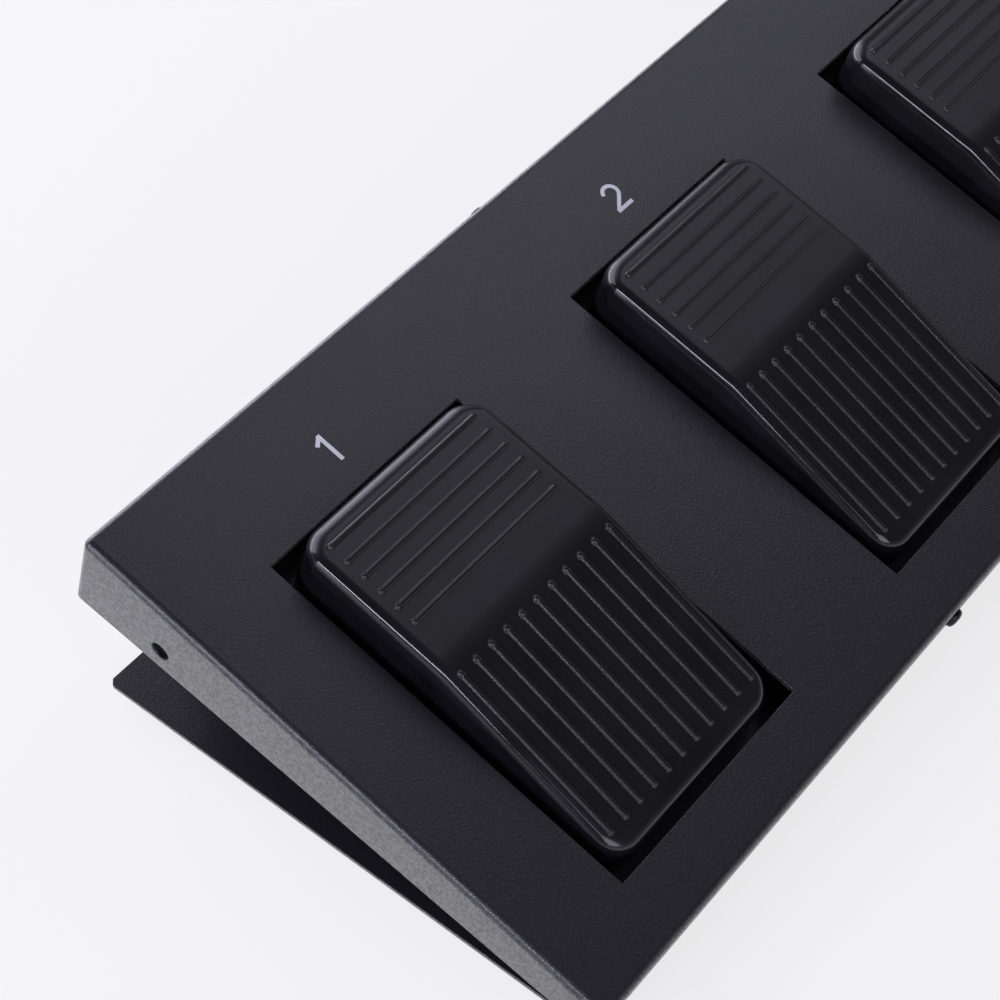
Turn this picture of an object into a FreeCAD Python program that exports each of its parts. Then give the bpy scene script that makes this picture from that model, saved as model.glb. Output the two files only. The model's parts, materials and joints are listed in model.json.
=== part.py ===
import FreeCAD, Part
import math
import os
import Sketcher

# Four-pedal wireless foot switch: a folded steel wedge with a moulded treadle in each window.
# World frame: +X to the right, +Y to the back, +Z up, origin on the floor under the middle.
# Plate frame, for everything that hangs on the sloping top: X as above, Y up the slope from
# the back edge of the top, Z square to the top with zero at its painted face.

doc = FreeCAD.newDocument("FootSwitch")

# Driving sizes in millimetres and degrees.
SIZES = [
    ("tilt", 17.7),              # slope of the top above the floor
    ("coverWidth", 476),         # folded cover, left to right over the side flanges
    ("coverDepth", 166),         # folded cover, measured down the slope
    ("coverGauge", 1.5),         # sheet of the cover
    ("bendRadius", 2.2),         # outside of the folds
    ("backRise", 62.4),          # back edge of the top above the underside of the base
    ("backFlange", 28.9),        # depth of the back flange and of the side flanges behind
    ("frontFlange", 13.5),       # depth that the side flanges taper to in front
    ("windowWidth", 70),
    ("windowDepth", 112.7),
    ("windowBack", 35.6),        # back edge of the top to the windows
    ("stationPitch", 116.7),     # pedal to pedal
    ("sideHoleBack", 28.3),      # threaded side fixing, from the back edge
    ("sideHoleDrop", 18.6),      # and from the top face
    ("sideHoleDiameter", 5.5),
    ("sideNutAcross", 9),
    ("sideNutBore", 5),
    ("sideNutLength", 6),
    ("baseGauge", 1.5),
    ("baseBehind", 3.7),         # base behind the back edge of the top
    ("baseLip", 8),              # upturned front lip behind the front flange
    ("lipEnd", 1),               # lip short of the side flanges
    ("lipRoot", 0.3),            # lip sunk into the base, outside
    ("lipToe", 0.5),             # and inside
    ("footHeight", 4),
    ("footDiameter", 14),
    ("footInset", 20),
    ("panelGauge", 1.2),         # rear panel, cheeks and tray
    ("panelInset", 1.5),         # rear panel in from the back edge of the base
    ("panelFoot", 12),
    ("panelLipTop", 3.4),        # top of the panel's lip below the top face
    ("cheekInset", 22.5),        # closing cheeks in from the ends
    ("cheekGap", 0.5),           # cheeks behind the base's lip
    ("trayDepth", 13.6),         # tray floor below the top face
    ("trayRoom", 3.6),           # tray walls outside the windows
    ("trayLip", 9),
    ("pedalGap", 2.8),           # pedal to window all round
    ("pedalTop", 12.7),          # rear field above the top face
    ("pedalBend", 49.6),         # bend line in front of the window's back edge
    ("pedalSlope", 11),          # front field, down from the rear field
    ("pedalWall", 2.2),
    ("pedalCorner", 8),
    ("pedalEdge", 3),            # roll along the sides and the nose
    ("pedalRoll", 5),            # roll along the rear edge
    ("ribChamfer", 0.5),
    ("skirtRear", 11),           # lower edge of the skirt below the top face, behind
    ("skirtFront", 6.3),         # and in front
    ("ribWidth", 1.6),
    ("ribHeight", 0.7),
    ("ribRoot", 0.55),           # ribs sunk into the wall
    ("crossRibPitch", 5.41),
    ("crossRibLength", 54.4),
    ("crossRibStart", 9.3),      # first cross rib in front of the window's back edge
    ("longRibPitch", 5.67),
    ("longRibLength", 52.4),
    ("longRibStart", 2.6),       # rib ends in front of the bend line
    ("hingeBack", 14.4),         # hinge pin in front of the window's back edge
    ("hingeDrop", 7),            # hinge pin below the top face
    ("pinDiameter", 3),
    ("pinPlay", 0.05),           # radial play of the pin in the pedal
    ("pinGrip", 0.02),           # radial gap of the pin in the pedal base
    ("sideGap", 0.75),           # pedal skirt to pedal base
    ("baseWall", 2),
    ("baseFloor", 2),
    ("baseRearDrop", 3),         # rim of the pedal base below the top face, behind
    ("baseFrontDrop", 9.5),      # and in front
    ("baseRimLevel", 20),        # length of the level part of that rim
    ("switchWidth", 10.3),
    ("switchLength", 27.8),
    ("switchHeight", 15.9),
    ("switchBehind", 8),         # switch body behind its plunger
    ("plungerArm", 20),          # plunger in front of the hinge pin
    ("plungerWidth", 4),
    ("plungerDepth", 1.8),
    ("plungerPlay", 0.1),
    ("plungerRise", 1.2),
    ("plungerLength", 4.2),
    ("plungerBore", 5.2),
    ("pressGap", 0.3),           # presser over the plunger
    ("presserWidth", 12),
    ("presserThick", 3),
    ("springWidth", 10),
    ("springGauge", 0.5),
    ("springFoot", 12),
    ("springTail", 4),
    ("springLean", 52),          # leg of the spring above its foot
    ("springBack", 48),          # spring tip in front of the hinge pin
    ("springGap", 0.2),
    ("railHeight", 6),           # rails that hold the switch body
    ("railPlay", 0.1),
    ("hookSide", 19),            # snap hooks of the pedal base from the middle
    ("hookRear", 26.4),          # and in front of the window's back edge
    ("hookFront", 92.4),
    ("hookWidth", 8),
    ("hookStem", 1.6),
    ("hookBarb", 1),
    ("hookHeight", 1.2),
    ("hookPlay", 0.1),
    ("screwShank", 2.6),
    ("screwHole", 3.4),
    ("screwTapped", 3.1),
    ("screwHead", 5.6),
    ("screwHeadHeight", 1.9),
    ("screwLength", 6),
    ("screwSide", 87.5),         # cover screws either side of the middle
    ("frontScrewDrop", 6.8),     # front pair below the top face
    ("backScrewDrop", 7.6),
    ("drawerX", -112),           # battery drawer from the middle
    ("drawerRise", 12.9),        # its middle above the base
    ("batteryWidth", 26.5),
    ("batteryLength", 46.5),
    ("batteryHeight", 17.5),
    ("studSide", 6.35),          # snap studs either side of the battery's middle
    ("studRise", 2),
    ("plusStud", 5.7),
    ("minusStud", 8),
    ("contactWidth", 5),
    ("contactHeight", 7),
    ("contactGauge", 0.4),
    ("contactGap", 0.2),
    ("drawerWall", 1.2),
    ("drawerSide", 13),          # height of the drawer's side walls
    ("drawerPlay", 0.3),
    ("drawerFace", 2.2),
    ("drawerStop", 4.5),         # low wall behind the battery
    ("scoopWidth", 14),          # finger scoop in the drawer's face
    ("scoopDiameter", 5),
    ("scoopDrop", 3),
    ("holderWall", 1.4),
    ("holderLength", 56),
    ("cutOutGap", 0.1),          # panel cut-outs round what passes through them
    ("bezelThick", 1.6),
    ("bezelSide", 3),
    ("bezelEdge", 1.3),
    ("rockerX", 96),
    ("rockerRise", 15),
    ("rockerBezelWidth", 21),
    ("rockerBezelHeight", 15),
    ("rockerBodyWidth", 18.6),
    ("rockerBodyHeight", 12.6),
    ("rockerBodyDepth", 13),
    ("rockerLength", 15.4),
    ("rockerHeight", 10),
    ("rockerPlay", 0.6),
    ("rockerTip", 8),            # rocker either side of level
    ("rockerPivot", 2.4),        # its axis behind the bezel's face
    ("rockerEnd", 4),            # V profile in front of the axis: ends
    ("rockerDip", 2.6),          # and middle
    ("rockerKeel", 1.6),
    ("rockerTaper", 0.8),
    ("rockerWell", 7),
    ("tagGauge", 0.8),           # blade tags of the power switch
    ("tagLength", 6),
    ("tagWidth", 4.8),
    ("tagSide", 4),
    ("ledX", 72),
    ("ledDiameter", 5),
    ("ledStem", 6),              # lamp behind the panel's face
    ("ledReach", 2),             # and in front, up to its dome
    ("ledClip", 8),
    ("ledStand", 1.2),           # clip in front of the panel
    ("clipPlay", 0.05),
    ("boardWidth", 92),
    ("boardDepth", 48),
    ("boardThick", 1.6),
    ("boardLift", 5),            # pillars under the board
    ("boardBehind", 16),         # board in front of the rear panel
    ("pillarAcross", 6),         # hexagonal snap-in supports
    ("pillarNeck", 3),
    ("pillarHead", 4.4),
    ("pillarHeadHeight", 1.2),
    ("pillarPlay", 0.1),
    ("pillarInset", 4),
    ("radioX", 28),              # radio module from the middle
    ("radioBack", 21),           # and from the board's back edge
    ("carrierWidth", 24),
    ("carrierDepth", 18),
    ("carrierThick", 1),
    ("canWidth", 16),
    ("canDepth", 14),
    ("canHeight", 3.2),
    ("antennaDiameter", 1.2),
    ("antennaRun", 40),
    ("antennaLift", 1),
    ("antennaEdge", 3),          # antenna in front of the module's back edge
    ("chipX", -2),
    ("chipBack", 24),
    ("chipSide", 10),
    ("chipHeight", 1.5),
    ("chipLegs", 1),
    ("chipLegHeight", 0.4),
    ("capacitorX", -37),
    ("capacitorBack", 13),
    ("capacitorPitch", 9),
    ("capacitorDiameter", 6.3),
    ("capacitorHeight", 9),
    ("crystalX", -20),
    ("crystalBack", 29),
    ("crystalLength", 10.5),
    ("crystalWidth", 4.5),
    ("crystalHeight", 3.4),
    ("crystalRim", 0.4),
    ("headerWidth", 8),
    ("headerDepth", 6),
    ("headerHeight", 6.5),
    ("headerWall", 0.8),
    ("headerFloor", 1.5),
    ("headerPitch", 15),
    ("cutPast", 1),              # cuts run past the faces that they open
]

# Sizes worked out from the driving ones.
DERIVED = [
    ("plateRun", "=sizes.coverDepth * cos(sizes.tilt)"),
    ("frontBulge", "=sizes.bendRadius * (cos(sizes.tilt) + sin(sizes.tilt) - 1)"),
    ("plateY", "=(plateRun - frontBulge - sizes.backFlange * sin(sizes.tilt)) / 2"),
    ("plateZ", "=sizes.footHeight + sizes.backRise"),
    ("baseTop", "=sizes.footHeight + sizes.baseGauge"),
    ("baseLine", "=(sizes.backRise - sizes.baseGauge) / cos(sizes.tilt)"),
    ("flangeTaper", "=(sizes.backFlange - sizes.frontFlange) / sizes.coverDepth"),
    ("flangeKink", "=(baseLine - sizes.backFlange) / (tan(sizes.tilt) - flangeTaper)"),
    ("frontDrop", "=baseLine - sizes.coverDepth * tan(sizes.tilt)"),
    ("baseBack", "=plateY + sizes.baseBehind"),
    ("baseFront", "=plateY - plateRun + frontDrop * sin(sizes.tilt)"),
    ("webY", "=baseBack - sizes.panelInset"),
    ("kneeDrop", "=(webY - plateY + sizes.coverGauge * cos(sizes.tilt)) / sin(sizes.tilt)"),
    ("innerKnee", "=(webY - plateY - sizes.panelGauge + (sizes.coverGauge + sizes.panelGauge)"
                  " * cos(sizes.tilt)) / sin(sizes.tilt)"),
    ("cheekOuter", "=sizes.coverWidth / 2 - sizes.cheekInset"),
    ("cheekInner", "=cheekOuter - sizes.panelGauge"),
    ("trayRear", "=-sizes.windowBack + sizes.trayRoom"),
    ("trayFront", "=-sizes.windowBack - sizes.windowDepth - sizes.trayRoom"),
    ("pedalRear", "=-sizes.windowBack - sizes.pedalGap"),
    ("pedalFront", "=-sizes.windowBack - sizes.windowDepth + sizes.pedalGap"),
    ("pedalWidth", "=sizes.windowWidth - 2 * sizes.pedalGap"),
    ("bendY", "=-sizes.windowBack - sizes.pedalBend"),
    ("noseTop", "=sizes.pedalTop - (bendY - pedalFront) * tan(sizes.pedalSlope)"),
    ("hingeY", "=-sizes.windowBack - sizes.hingeBack"),
    ("floorTop", "=-sizes.trayDepth + sizes.baseFloor"),
    ("pedalBaseHalf", "=pedalWidth / 2 - sizes.pedalWall - sizes.sideGap"),
    ("pedalBaseRear", "=pedalRear - sizes.pedalWall - sizes.sideGap"),
    ("pedalBaseFront", "=pedalFront + sizes.pedalWall + 2 * sizes.sideGap"),
    ("plungerY", "=hingeY - sizes.plungerArm"),
    ("switchTop", "=floorTop + sizes.switchHeight"),
    ("plungerTop", "=switchTop + sizes.plungerRise"),
    ("springTipY", "=hingeY - sizes.springBack"),
    ("springTipZ", "=sizes.pedalTop - sizes.pedalWall / cos(sizes.pedalSlope)"
                   " - (bendY - springTipY) * tan(sizes.pedalSlope) - sizes.springGap"),
    ("springKnee", "=springTipY - (springTipZ - floorTop - sizes.springGauge) / tan(sizes.springLean)"),
    ("drawerWidth", "=sizes.batteryWidth + 2 * sizes.drawerWall + 2 * sizes.drawerPlay"),
    ("cavityWidth", "=drawerWidth + 2 * sizes.drawerPlay"),
    ("cavityHeight", "=sizes.batteryHeight + sizes.drawerWall + 3 * sizes.drawerPlay"),
    ("holderWidth", "=cavityWidth + 2 * sizes.holderWall"),
    ("holderHeight", "=cavityHeight + 2 * sizes.holderWall"),
    ("drawerMiddle", "=baseTop + sizes.drawerRise"),
    ("cavityFloor", "=drawerMiddle - cavityHeight / 2"),
    ("holderEnd", "=webY - sizes.holderLength"),
    ("batteryBack", "=webY - sizes.panelGauge"),
    ("batteryEnd", "=batteryBack - sizes.batteryLength"),
    ("batteryLow", "=cavityFloor + sizes.drawerPlay + sizes.drawerWall"),
    ("batteryMiddle", "=batteryLow + sizes.batteryHeight / 2"),
    ("rockerMiddle", "=baseTop + sizes.rockerRise"),
    ("rockerFace", "=webY + sizes.bezelThick"),
    ("boardTop", "=baseTop + sizes.boardLift + sizes.boardThick"),
    ("boardBack", "=webY - sizes.boardBehind"),
    ("boardFront", "=boardBack - sizes.boardDepth"),
]

STATIONS = 4
CROSS_RIBS = 6
CAPACITORS = 2
HOOKS = [
    ("-sizes.hookSide", "-sizes.windowBack - sizes.hookRear"),
    ("sizes.hookSide", "-sizes.windowBack - sizes.hookFront"),
]
SCREW_ROW = ["-sizes.screwSide", "sizes.screwSide"]


def make_sheet(name, cells):
    table = doc.addObject("Spreadsheet::Sheet", name)
    for row, (alias, value) in enumerate(cells, 1):
        table.set("A%d" % row, alias)
        table.set("B%d" % row, str(value))
        table.setAlias("B%d" % row, alias)
    return table


sizes = make_sheet("sizes", SIZES)
doc.recompute()
layout = make_sheet("layout", DERIVED)
doc.recompute()


def value(expression):
    return float(sizes.evalExpression(expression))


# Long ribs fill the pedal's width, a wall clear of its sides, with one on the middle line.
LONG_RIBS = 1 + 2 * int(
    value("(layout.pedalWidth / 2 - sizes.pedalWall - sizes.ribWidth / 2) / sizes.longRibPitch")
)


def world(y, z):
    # A plate-frame point, as expressions, turned into world Y and Z.
    return (
        "layout.plateY + (%s) * cos(sizes.tilt) - (%s) * sin(sizes.tilt)" % (y, z),
        "layout.plateZ + (%s) * sin(sizes.tilt) + (%s) * cos(sizes.tilt)" % (y, z),
    )


def on_plate(piece, x="0"):
    piece.setExpression(
        "Placement",
        "placement(vector(%s; layout.plateY; layout.plateZ); rotation(vector(1; 0; 0); sizes.tilt))" % x,
    )
    return piece


def across_slope(y, z):
    # Sketch plane square to the slope, through a plate-frame point, for a sketch on the XZ plane.
    back, up = world(y, z)
    return "placement(vector(0; %s; -(%s)); rotation(vector(1; 0; 0); sizes.tilt))" % (up, back)


def station_x(index):
    return "%s * sizes.stationPitch" % (index - (STATIONS - 1) / 2)


# Sketch and feature helpers.
def origin_item(body, role):
    return next(item for item in body.Origin.OriginFeatures if item.Role == role)


def new_body(label):
    return doc.addObject("PartDesign::Body", label)


def new_sketch(body, name, role, lift="0", lean=None):
    sketch = body.newObject("Sketcher::SketchObject", body.Label + "_" + name)
    sketch.AttachmentSupport = (origin_item(body, role), [""])
    sketch.MapMode = "FlatFace"
    if lean:
        sketch.setExpression("AttachmentOffset", lean)
    else:
        sketch.setExpression("AttachmentOffset.Base.z", lift)
    return sketch


def bind(sketch, kind, where, expression):
    number = sketch.addConstraint(Sketcher.Constraint(kind, *where, value(expression)))
    sketch.setExpression("Constraints[%d]" % number, expression)


def outline(body, name, role, points, lift="0", lean=None):
    # Closed outline with every corner held by its two coordinates.
    sketch = new_sketch(body, name, role, lift, lean)
    corners = [FreeCAD.Vector(value(across), value(up), 0) for across, up in points]
    count = len(corners)
    for i in range(count):
        sketch.addGeometry(Part.LineSegment(corners[i], corners[(i + 1) % count]), False)
    for i in range(count):
        sketch.addConstraint(Sketcher.Constraint("Coincident", i, 2, (i + 1) % count, 1))
    for i, (across, up) in enumerate(points):
        bind(sketch, "DistanceX", (-1, 1, i, 1), across)
        bind(sketch, "DistanceY", (-1, 1, i, 1), up)
    return sketch


def rectangle(body, name, role, low, high, lift="0", lean=None):
    points = [(low[0], low[1]), (high[0], low[1]), (high[0], high[1]), (low[0], high[1])]
    return outline(body, name, role, points, lift, lean)


def rounds(body, name, role, centres, radius, lift="0", lean=None):
    # One circle at each centre.
    sketch = new_sketch(body, name, role, lift, lean)
    up = FreeCAD.Vector(0, 0, 1)
    for i, (across, along) in enumerate(centres):
        centre = FreeCAD.Vector(value(across), value(along), 0)
        sketch.addGeometry(Part.Circle(centre, up, value(radius)), False)
        bind(sketch, "DistanceX", (-1, 1, i, 3), across)
        bind(sketch, "DistanceY", (-1, 1, i, 3), along)
        bind(sketch, "Radius", (i,), radius)
    return sketch


def bar(body, name, low, high, cut, lift="0", lean=None):
    # Long bar with its four corners cut off. Low and high are its extents in X and Y.
    (left, front), (right, back) = low, high
    points = [
        ("%s + %s" % (left, cut), front),
        ("%s - %s" % (right, cut), front),
        (right, "%s + %s" % (front, cut)),
        (right, "%s - %s" % (back, cut)),
        ("%s - %s" % (right, cut), back),
        ("%s + %s" % (left, cut), back),
        (left, "%s - %s" % (back, cut)),
        (left, "%s + %s" % (front, cut)),
    ]
    return outline(body, name, "XY_Plane", points, lift, lean)


def rounded_frame(body, name, low, high, radius, margin):
    # Rectangle with an inner rounded rectangle, all round it by the margin.
    wide_low = ["%s - %s" % (place, margin) for place in low]
    wide_high = ["%s + %s" % (place, margin) for place in high]
    sketch = rectangle(body, name, "XY_Plane", wide_low, wide_high)
    left, front = ["%s + %s" % (place, radius) for place in low]
    right, back = ["%s - %s" % (place, radius) for place in high]
    size = value(radius)
    up = FreeCAD.Vector(0, 0, 1)
    quarter = math.pi / 2
    first = sketch.GeometryCount
    centres = [(right, front), (right, back), (left, back), (left, front)]
    middles = [FreeCAD.Vector(value(across), value(along), 0) for across, along in centres]
    for i, middle in enumerate(middles):
        circle = Part.Circle(middle, up, size)
        sketch.addGeometry(Part.ArcOfCircle(circle, (i - 1) * quarter, i * quarter), False)
    for i, middle in enumerate(middles):
        outward = FreeCAD.Vector(math.cos(i * quarter), math.sin(i * quarter), 0) * size
        sketch.addGeometry(Part.LineSegment(middle + outward, middles[(i + 1) % 4] + outward), False)
    for i, (across, along) in enumerate(centres):
        arc, line = first + i, first + 4 + i
        sketch.addConstraint(Sketcher.Constraint("Tangent", arc, 2, line, 1))
        sketch.addConstraint(Sketcher.Constraint("Tangent", line, 2, first + (i + 1) % 4, 1))
        bind(sketch, "DistanceX", (-1, 1, arc, 3), across)
        bind(sketch, "DistanceY", (-1, 1, arc, 3), along)
        bind(sketch, "Radius", (arc,), radius)
    return sketch


def roll_edge(body, name, wall, top, outward, radius):
    # Cuts an edge that runs from side to side back to a round between its two tangent points.
    clear_y = "%s + (%s)" % (wall[0], outward)
    clear_z = "%s + %s" % (top[1], radius)
    corners = [top, (top[0], clear_z), (clear_y, clear_z), (clear_y, wall[1]), wall]
    sketch = new_sketch(body, name, "YZ_Plane")
    points = [FreeCAD.Vector(value(across), value(up), 0) for across, up in corners]
    for start, end in zip(points, points[1:]):
        sketch.addGeometry(Part.LineSegment(start, end), False)
    size = value(radius)
    middle = points[4] - FreeCAD.Vector(math.copysign(size, value(outward)), 0, 0)
    angles = [math.atan2(*reversed((point - middle)[:2])) for point in (points[4], points[0])]
    turn = (angles[1] - angles[0] + math.pi) % (2 * math.pi) - math.pi
    low, high = (angles[0], angles[0] + turn) if turn > 0 else (angles[0] + turn, angles[0])
    arc = Part.ArcOfCircle(Part.Circle(middle, FreeCAD.Vector(0, 0, 1), size), low, high)
    sketch.addGeometry(arc, False)
    at_wall, at_top = (1, 2) if turn > 0 else (2, 1)
    for i in range(3):
        sketch.addConstraint(Sketcher.Constraint("Coincident", i, 2, i + 1, 1))
    sketch.addConstraint(Sketcher.Constraint("Coincident", 3, 2, 4, at_wall))
    sketch.addConstraint(Sketcher.Constraint("Coincident", 0, 1, 4, at_top))
    for i, (across, up) in enumerate(corners[:4]):
        bind(sketch, "DistanceX", (-1, 1, i, 1), across)
        bind(sketch, "DistanceY", (-1, 1, i, 1), up)
    bind(sketch, "DistanceX", (-1, 1, 3, 2), wall[0])
    bind(sketch, "DistanceY", (-1, 1, 3, 2), wall[1])
    bind(sketch, "Radius", (4,), radius)
    return pocket(body, sketch, None, "Symmetric")


def pad(body, sketch, length, side="One side", back=None, reverse=False):
    feature = body.newObject("PartDesign::Pad", sketch.Label + "_pad")
    feature.Profile = (sketch, [""])
    feature.SideType = side
    feature.setExpression("Length", length)
    if back:
        feature.setExpression("Length2", back)
    feature.Reversed = reverse
    doc.recompute()
    return feature


def pocket(body, sketch, length=None, side="One side", reverse=False):
    feature = body.newObject("PartDesign::Pocket", sketch.Label + "_pocket")
    feature.Profile = (sketch, [""])
    feature.SideType = side
    if length:
        feature.setExpression("Length", length)
    else:
        feature.Type = "ThroughAll"
    feature.Reversed = reverse
    before = feature.BaseFeature.Shape.Volume
    doc.recompute()
    if not feature.Shape.isNull() and feature.Shape.Volume > before - 1e-6:
        raise RuntimeError(feature.Label + " removes nothing")
    return feature


def repeat(body, feature, role, spacing, count):
    pattern = body.newObject("PartDesign::LinearPattern", feature.Label + "_row")
    pattern.Originals = [feature]
    pattern.Direction = (origin_item(body, role), [""])
    pattern.Mode = "Spacing"
    pattern.setExpression("Offset", spacing)
    pattern.Occurrences = count
    body.Tip = pattern
    doc.recompute()
    return pattern


def fillet(body, base, radius, choose):
    names = ["Edge%d" % i for i, edge in enumerate(base.Shape.Edges, 1) if choose(edge)]
    feature = body.newObject("PartDesign::Fillet", base.Label + "_round")
    feature.Base = (base, names)
    feature.setExpression("Radius", radius)
    doc.recompute()
    return feature


def chamfer(body, base, size, choose):
    names = ["Edge%d" % i for i, edge in enumerate(base.Shape.Edges, 1) if choose(edge)]
    feature = body.newObject("PartDesign::Chamfer", base.Label + "_chamfer")
    feature.Base = (base, names)
    feature.setExpression("Size", size)
    doc.recompute()
    return feature


def upright(edge):
    box = edge.BoundBox
    return box.XLength < 1e-3 and box.YLength < 1e-3


def block(name, low, size):
    # Box from its low corner and its size, all expressions.
    box = doc.addObject("Part::Box", name)
    for side, length in zip(("Length", "Width", "Height"), size):
        box.setExpression(side, length)
    for axis, place in zip("xyz", low):
        box.setExpression("Placement.Base." + axis, place)
    return box


def middle_block(name, width, low_y, low_z, depth, height, x="0"):
    # Box centred left to right on x.
    return block(name, ("%s - (%s) / 2" % (x, width), low_y, low_z), (width, depth, height))


TURNS = {
    "x": "rotation(vector(0; 1; 0); 90)",
    "y": "rotation(vector(1; 0; 0); -90)",
    "z": "rotation(vector(0; 0; 1); 0)",
}


def lay(piece, place, direction):
    # Turns an upright piece along an axis, with its foot at the place.
    piece.setExpression("Placement", "placement(vector(%s; %s; %s); %s)" % (*place, TURNS[direction]))
    return piece


def rod(name, place, direction, diameter, length):
    cylinder = doc.addObject("Part::Cylinder", name)
    cylinder.setExpression("Radius", "(%s) / 2" % diameter)
    cylinder.setExpression("Height", length)
    return lay(cylinder, place, direction)


def hexagon(name, place, direction, across, length):
    prism = doc.addObject("Part::Prism", name)
    prism.Polygon = 6
    prism.setExpression("Circumradius", "(%s) / (2 * cos(30))" % across)
    prism.setExpression("Height", length)
    return lay(prism, place, direction)


def join(name, pieces):
    fuse = doc.addObject("Part::MultiFuse", name)
    fuse.Shapes = pieces
    return fuse


def cut(name, base, tool):
    result = doc.addObject("Part::Cut", name)
    result.Base = base
    result.Tool = tool
    return result


def group(name, pieces):
    compound = doc.addObject("Part::Compound", name)
    compound.Links = pieces
    return compound


# Folded steel housing.
def make_top_cover():
    body = new_body("top_cover")
    outer = outline(body, "side", "YZ_Plane", [
        ("0", "0"),
        ("-sizes.coverDepth", "0"),
        ("-sizes.coverDepth", "-layout.frontDrop"),
        ("-layout.flangeKink", "-sizes.backFlange + layout.flangeKink * layout.flangeTaper"),
        ("0", "-sizes.backFlange"),
    ])
    wedge = pad(body, outer, "sizes.coverWidth", "Symmetric")
    fillet(body, wedge, "sizes.bendRadius", lambda edge: edge.BoundBox.ZMin > -1e-3)
    inner = outline(body, "inside", "YZ_Plane", [
        ("-sizes.coverGauge", "-sizes.coverGauge"),
        ("-sizes.coverDepth + sizes.coverGauge", "-sizes.coverGauge"),
        ("-sizes.coverDepth + sizes.coverGauge", "-layout.baseLine"),
        ("-sizes.coverGauge", "-layout.baseLine"),
    ])
    pocket(body, inner, "sizes.coverWidth - 2 * sizes.coverGauge", "Symmetric")
    left = "-%s * sizes.stationPitch" % ((STATIONS - 1) / 2)
    window = rectangle(
        body, "window", "XY_Plane",
        (left + " - sizes.windowWidth / 2", "-sizes.windowBack - sizes.windowDepth"),
        (left + " + sizes.windowWidth / 2", "-sizes.windowBack"),
    )
    opening = pocket(body, window, "sizes.coverGauge + sizes.cutPast")
    repeat(body, opening, "X_Axis", "sizes.stationPitch", STATIONS)
    holes = rounds(
        body, "fixing", "YZ_Plane", [("-sizes.sideHoleBack", "-sizes.sideHoleDrop")],
        "sizes.sideHoleDiameter / 2",
    )
    pocket(body, holes, None, "Symmetric")
    front = rounds(
        body, "front_holes", "XZ_Plane", [(x, "-sizes.frontScrewDrop") for x in SCREW_ROW],
        "sizes.screwHole / 2", lift="sizes.coverDepth + sizes.cutPast",
    )
    pocket(body, front, "sizes.coverGauge + 2 * sizes.cutPast")
    back = rounds(
        body, "back_holes", "XZ_Plane", [(x, "-sizes.backScrewDrop") for x in SCREW_ROW],
        "sizes.screwHole / 2", lift="-sizes.cutPast",
    )
    pocket(body, back, "sizes.coverGauge + 2 * sizes.cutPast", reverse=True)
    return on_plate(body)


def make_side_nuts():
    # Hexagonal threaded inserts pressed behind the side fixing holes.
    nuts = []
    for side, sign in (("left", -1), ("right", 1)):
        inner = "sizes.coverWidth / 2 - sizes.coverGauge"
        start = "-(%s)" % inner if sign < 0 else "%s - sizes.sideNutLength" % inner
        place = (start, "-sizes.sideHoleBack", "-sizes.sideHoleDrop")
        barrel = hexagon("nut_%s_barrel" % side, place, "x", "sizes.sideNutAcross", "sizes.sideNutLength")
        bore = rod("nut_%s_bore" % side, place, "x", "sizes.sideNutBore", "sizes.sideNutLength")
        nuts.append(cut("nut_%s" % side, barrel, bore))
    return on_plate(group("side_nuts", nuts))


def make_base_plate():
    body = new_body("base_plate")
    flat = rectangle(
        body, "flat", "XY_Plane",
        ("-sizes.coverWidth / 2", "layout.baseFront"),
        ("sizes.coverWidth / 2", "layout.baseBack"),
        lift="sizes.footHeight",
    )
    sheet = pad(body, flat, "sizes.baseGauge")
    chamfer(body, sheet, "sizes.baseGauge", upright)
    inside = "-sizes.coverDepth + sizes.coverGauge"
    lip = outline(body, "lip", "YZ_Plane", [
        world(inside, "-layout.frontDrop - sizes.coverGauge * tan(sizes.tilt) - sizes.lipRoot"),
        world(inside, "-layout.frontDrop + sizes.baseLip"),
        world(inside + " + sizes.baseGauge", "-layout.frontDrop + sizes.baseLip"),
        world(inside + " + sizes.baseGauge", "-layout.frontDrop - sizes.coverGauge - sizes.lipToe"),
    ])
    pad(body, lip, "sizes.coverWidth - 2 * sizes.coverGauge - 2 * sizes.lipEnd", "Symmetric")
    tapped = rounds(
        body, "lip_holes", "XZ_Plane", [(x, "0") for x in SCREW_ROW], "sizes.screwTapped / 2",
        lean=across_slope("-sizes.coverDepth", "-sizes.frontScrewDrop"),
    )
    pocket(body, tapped, "sizes.coverGauge + sizes.baseGauge + sizes.cutPast")
    return body


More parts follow.
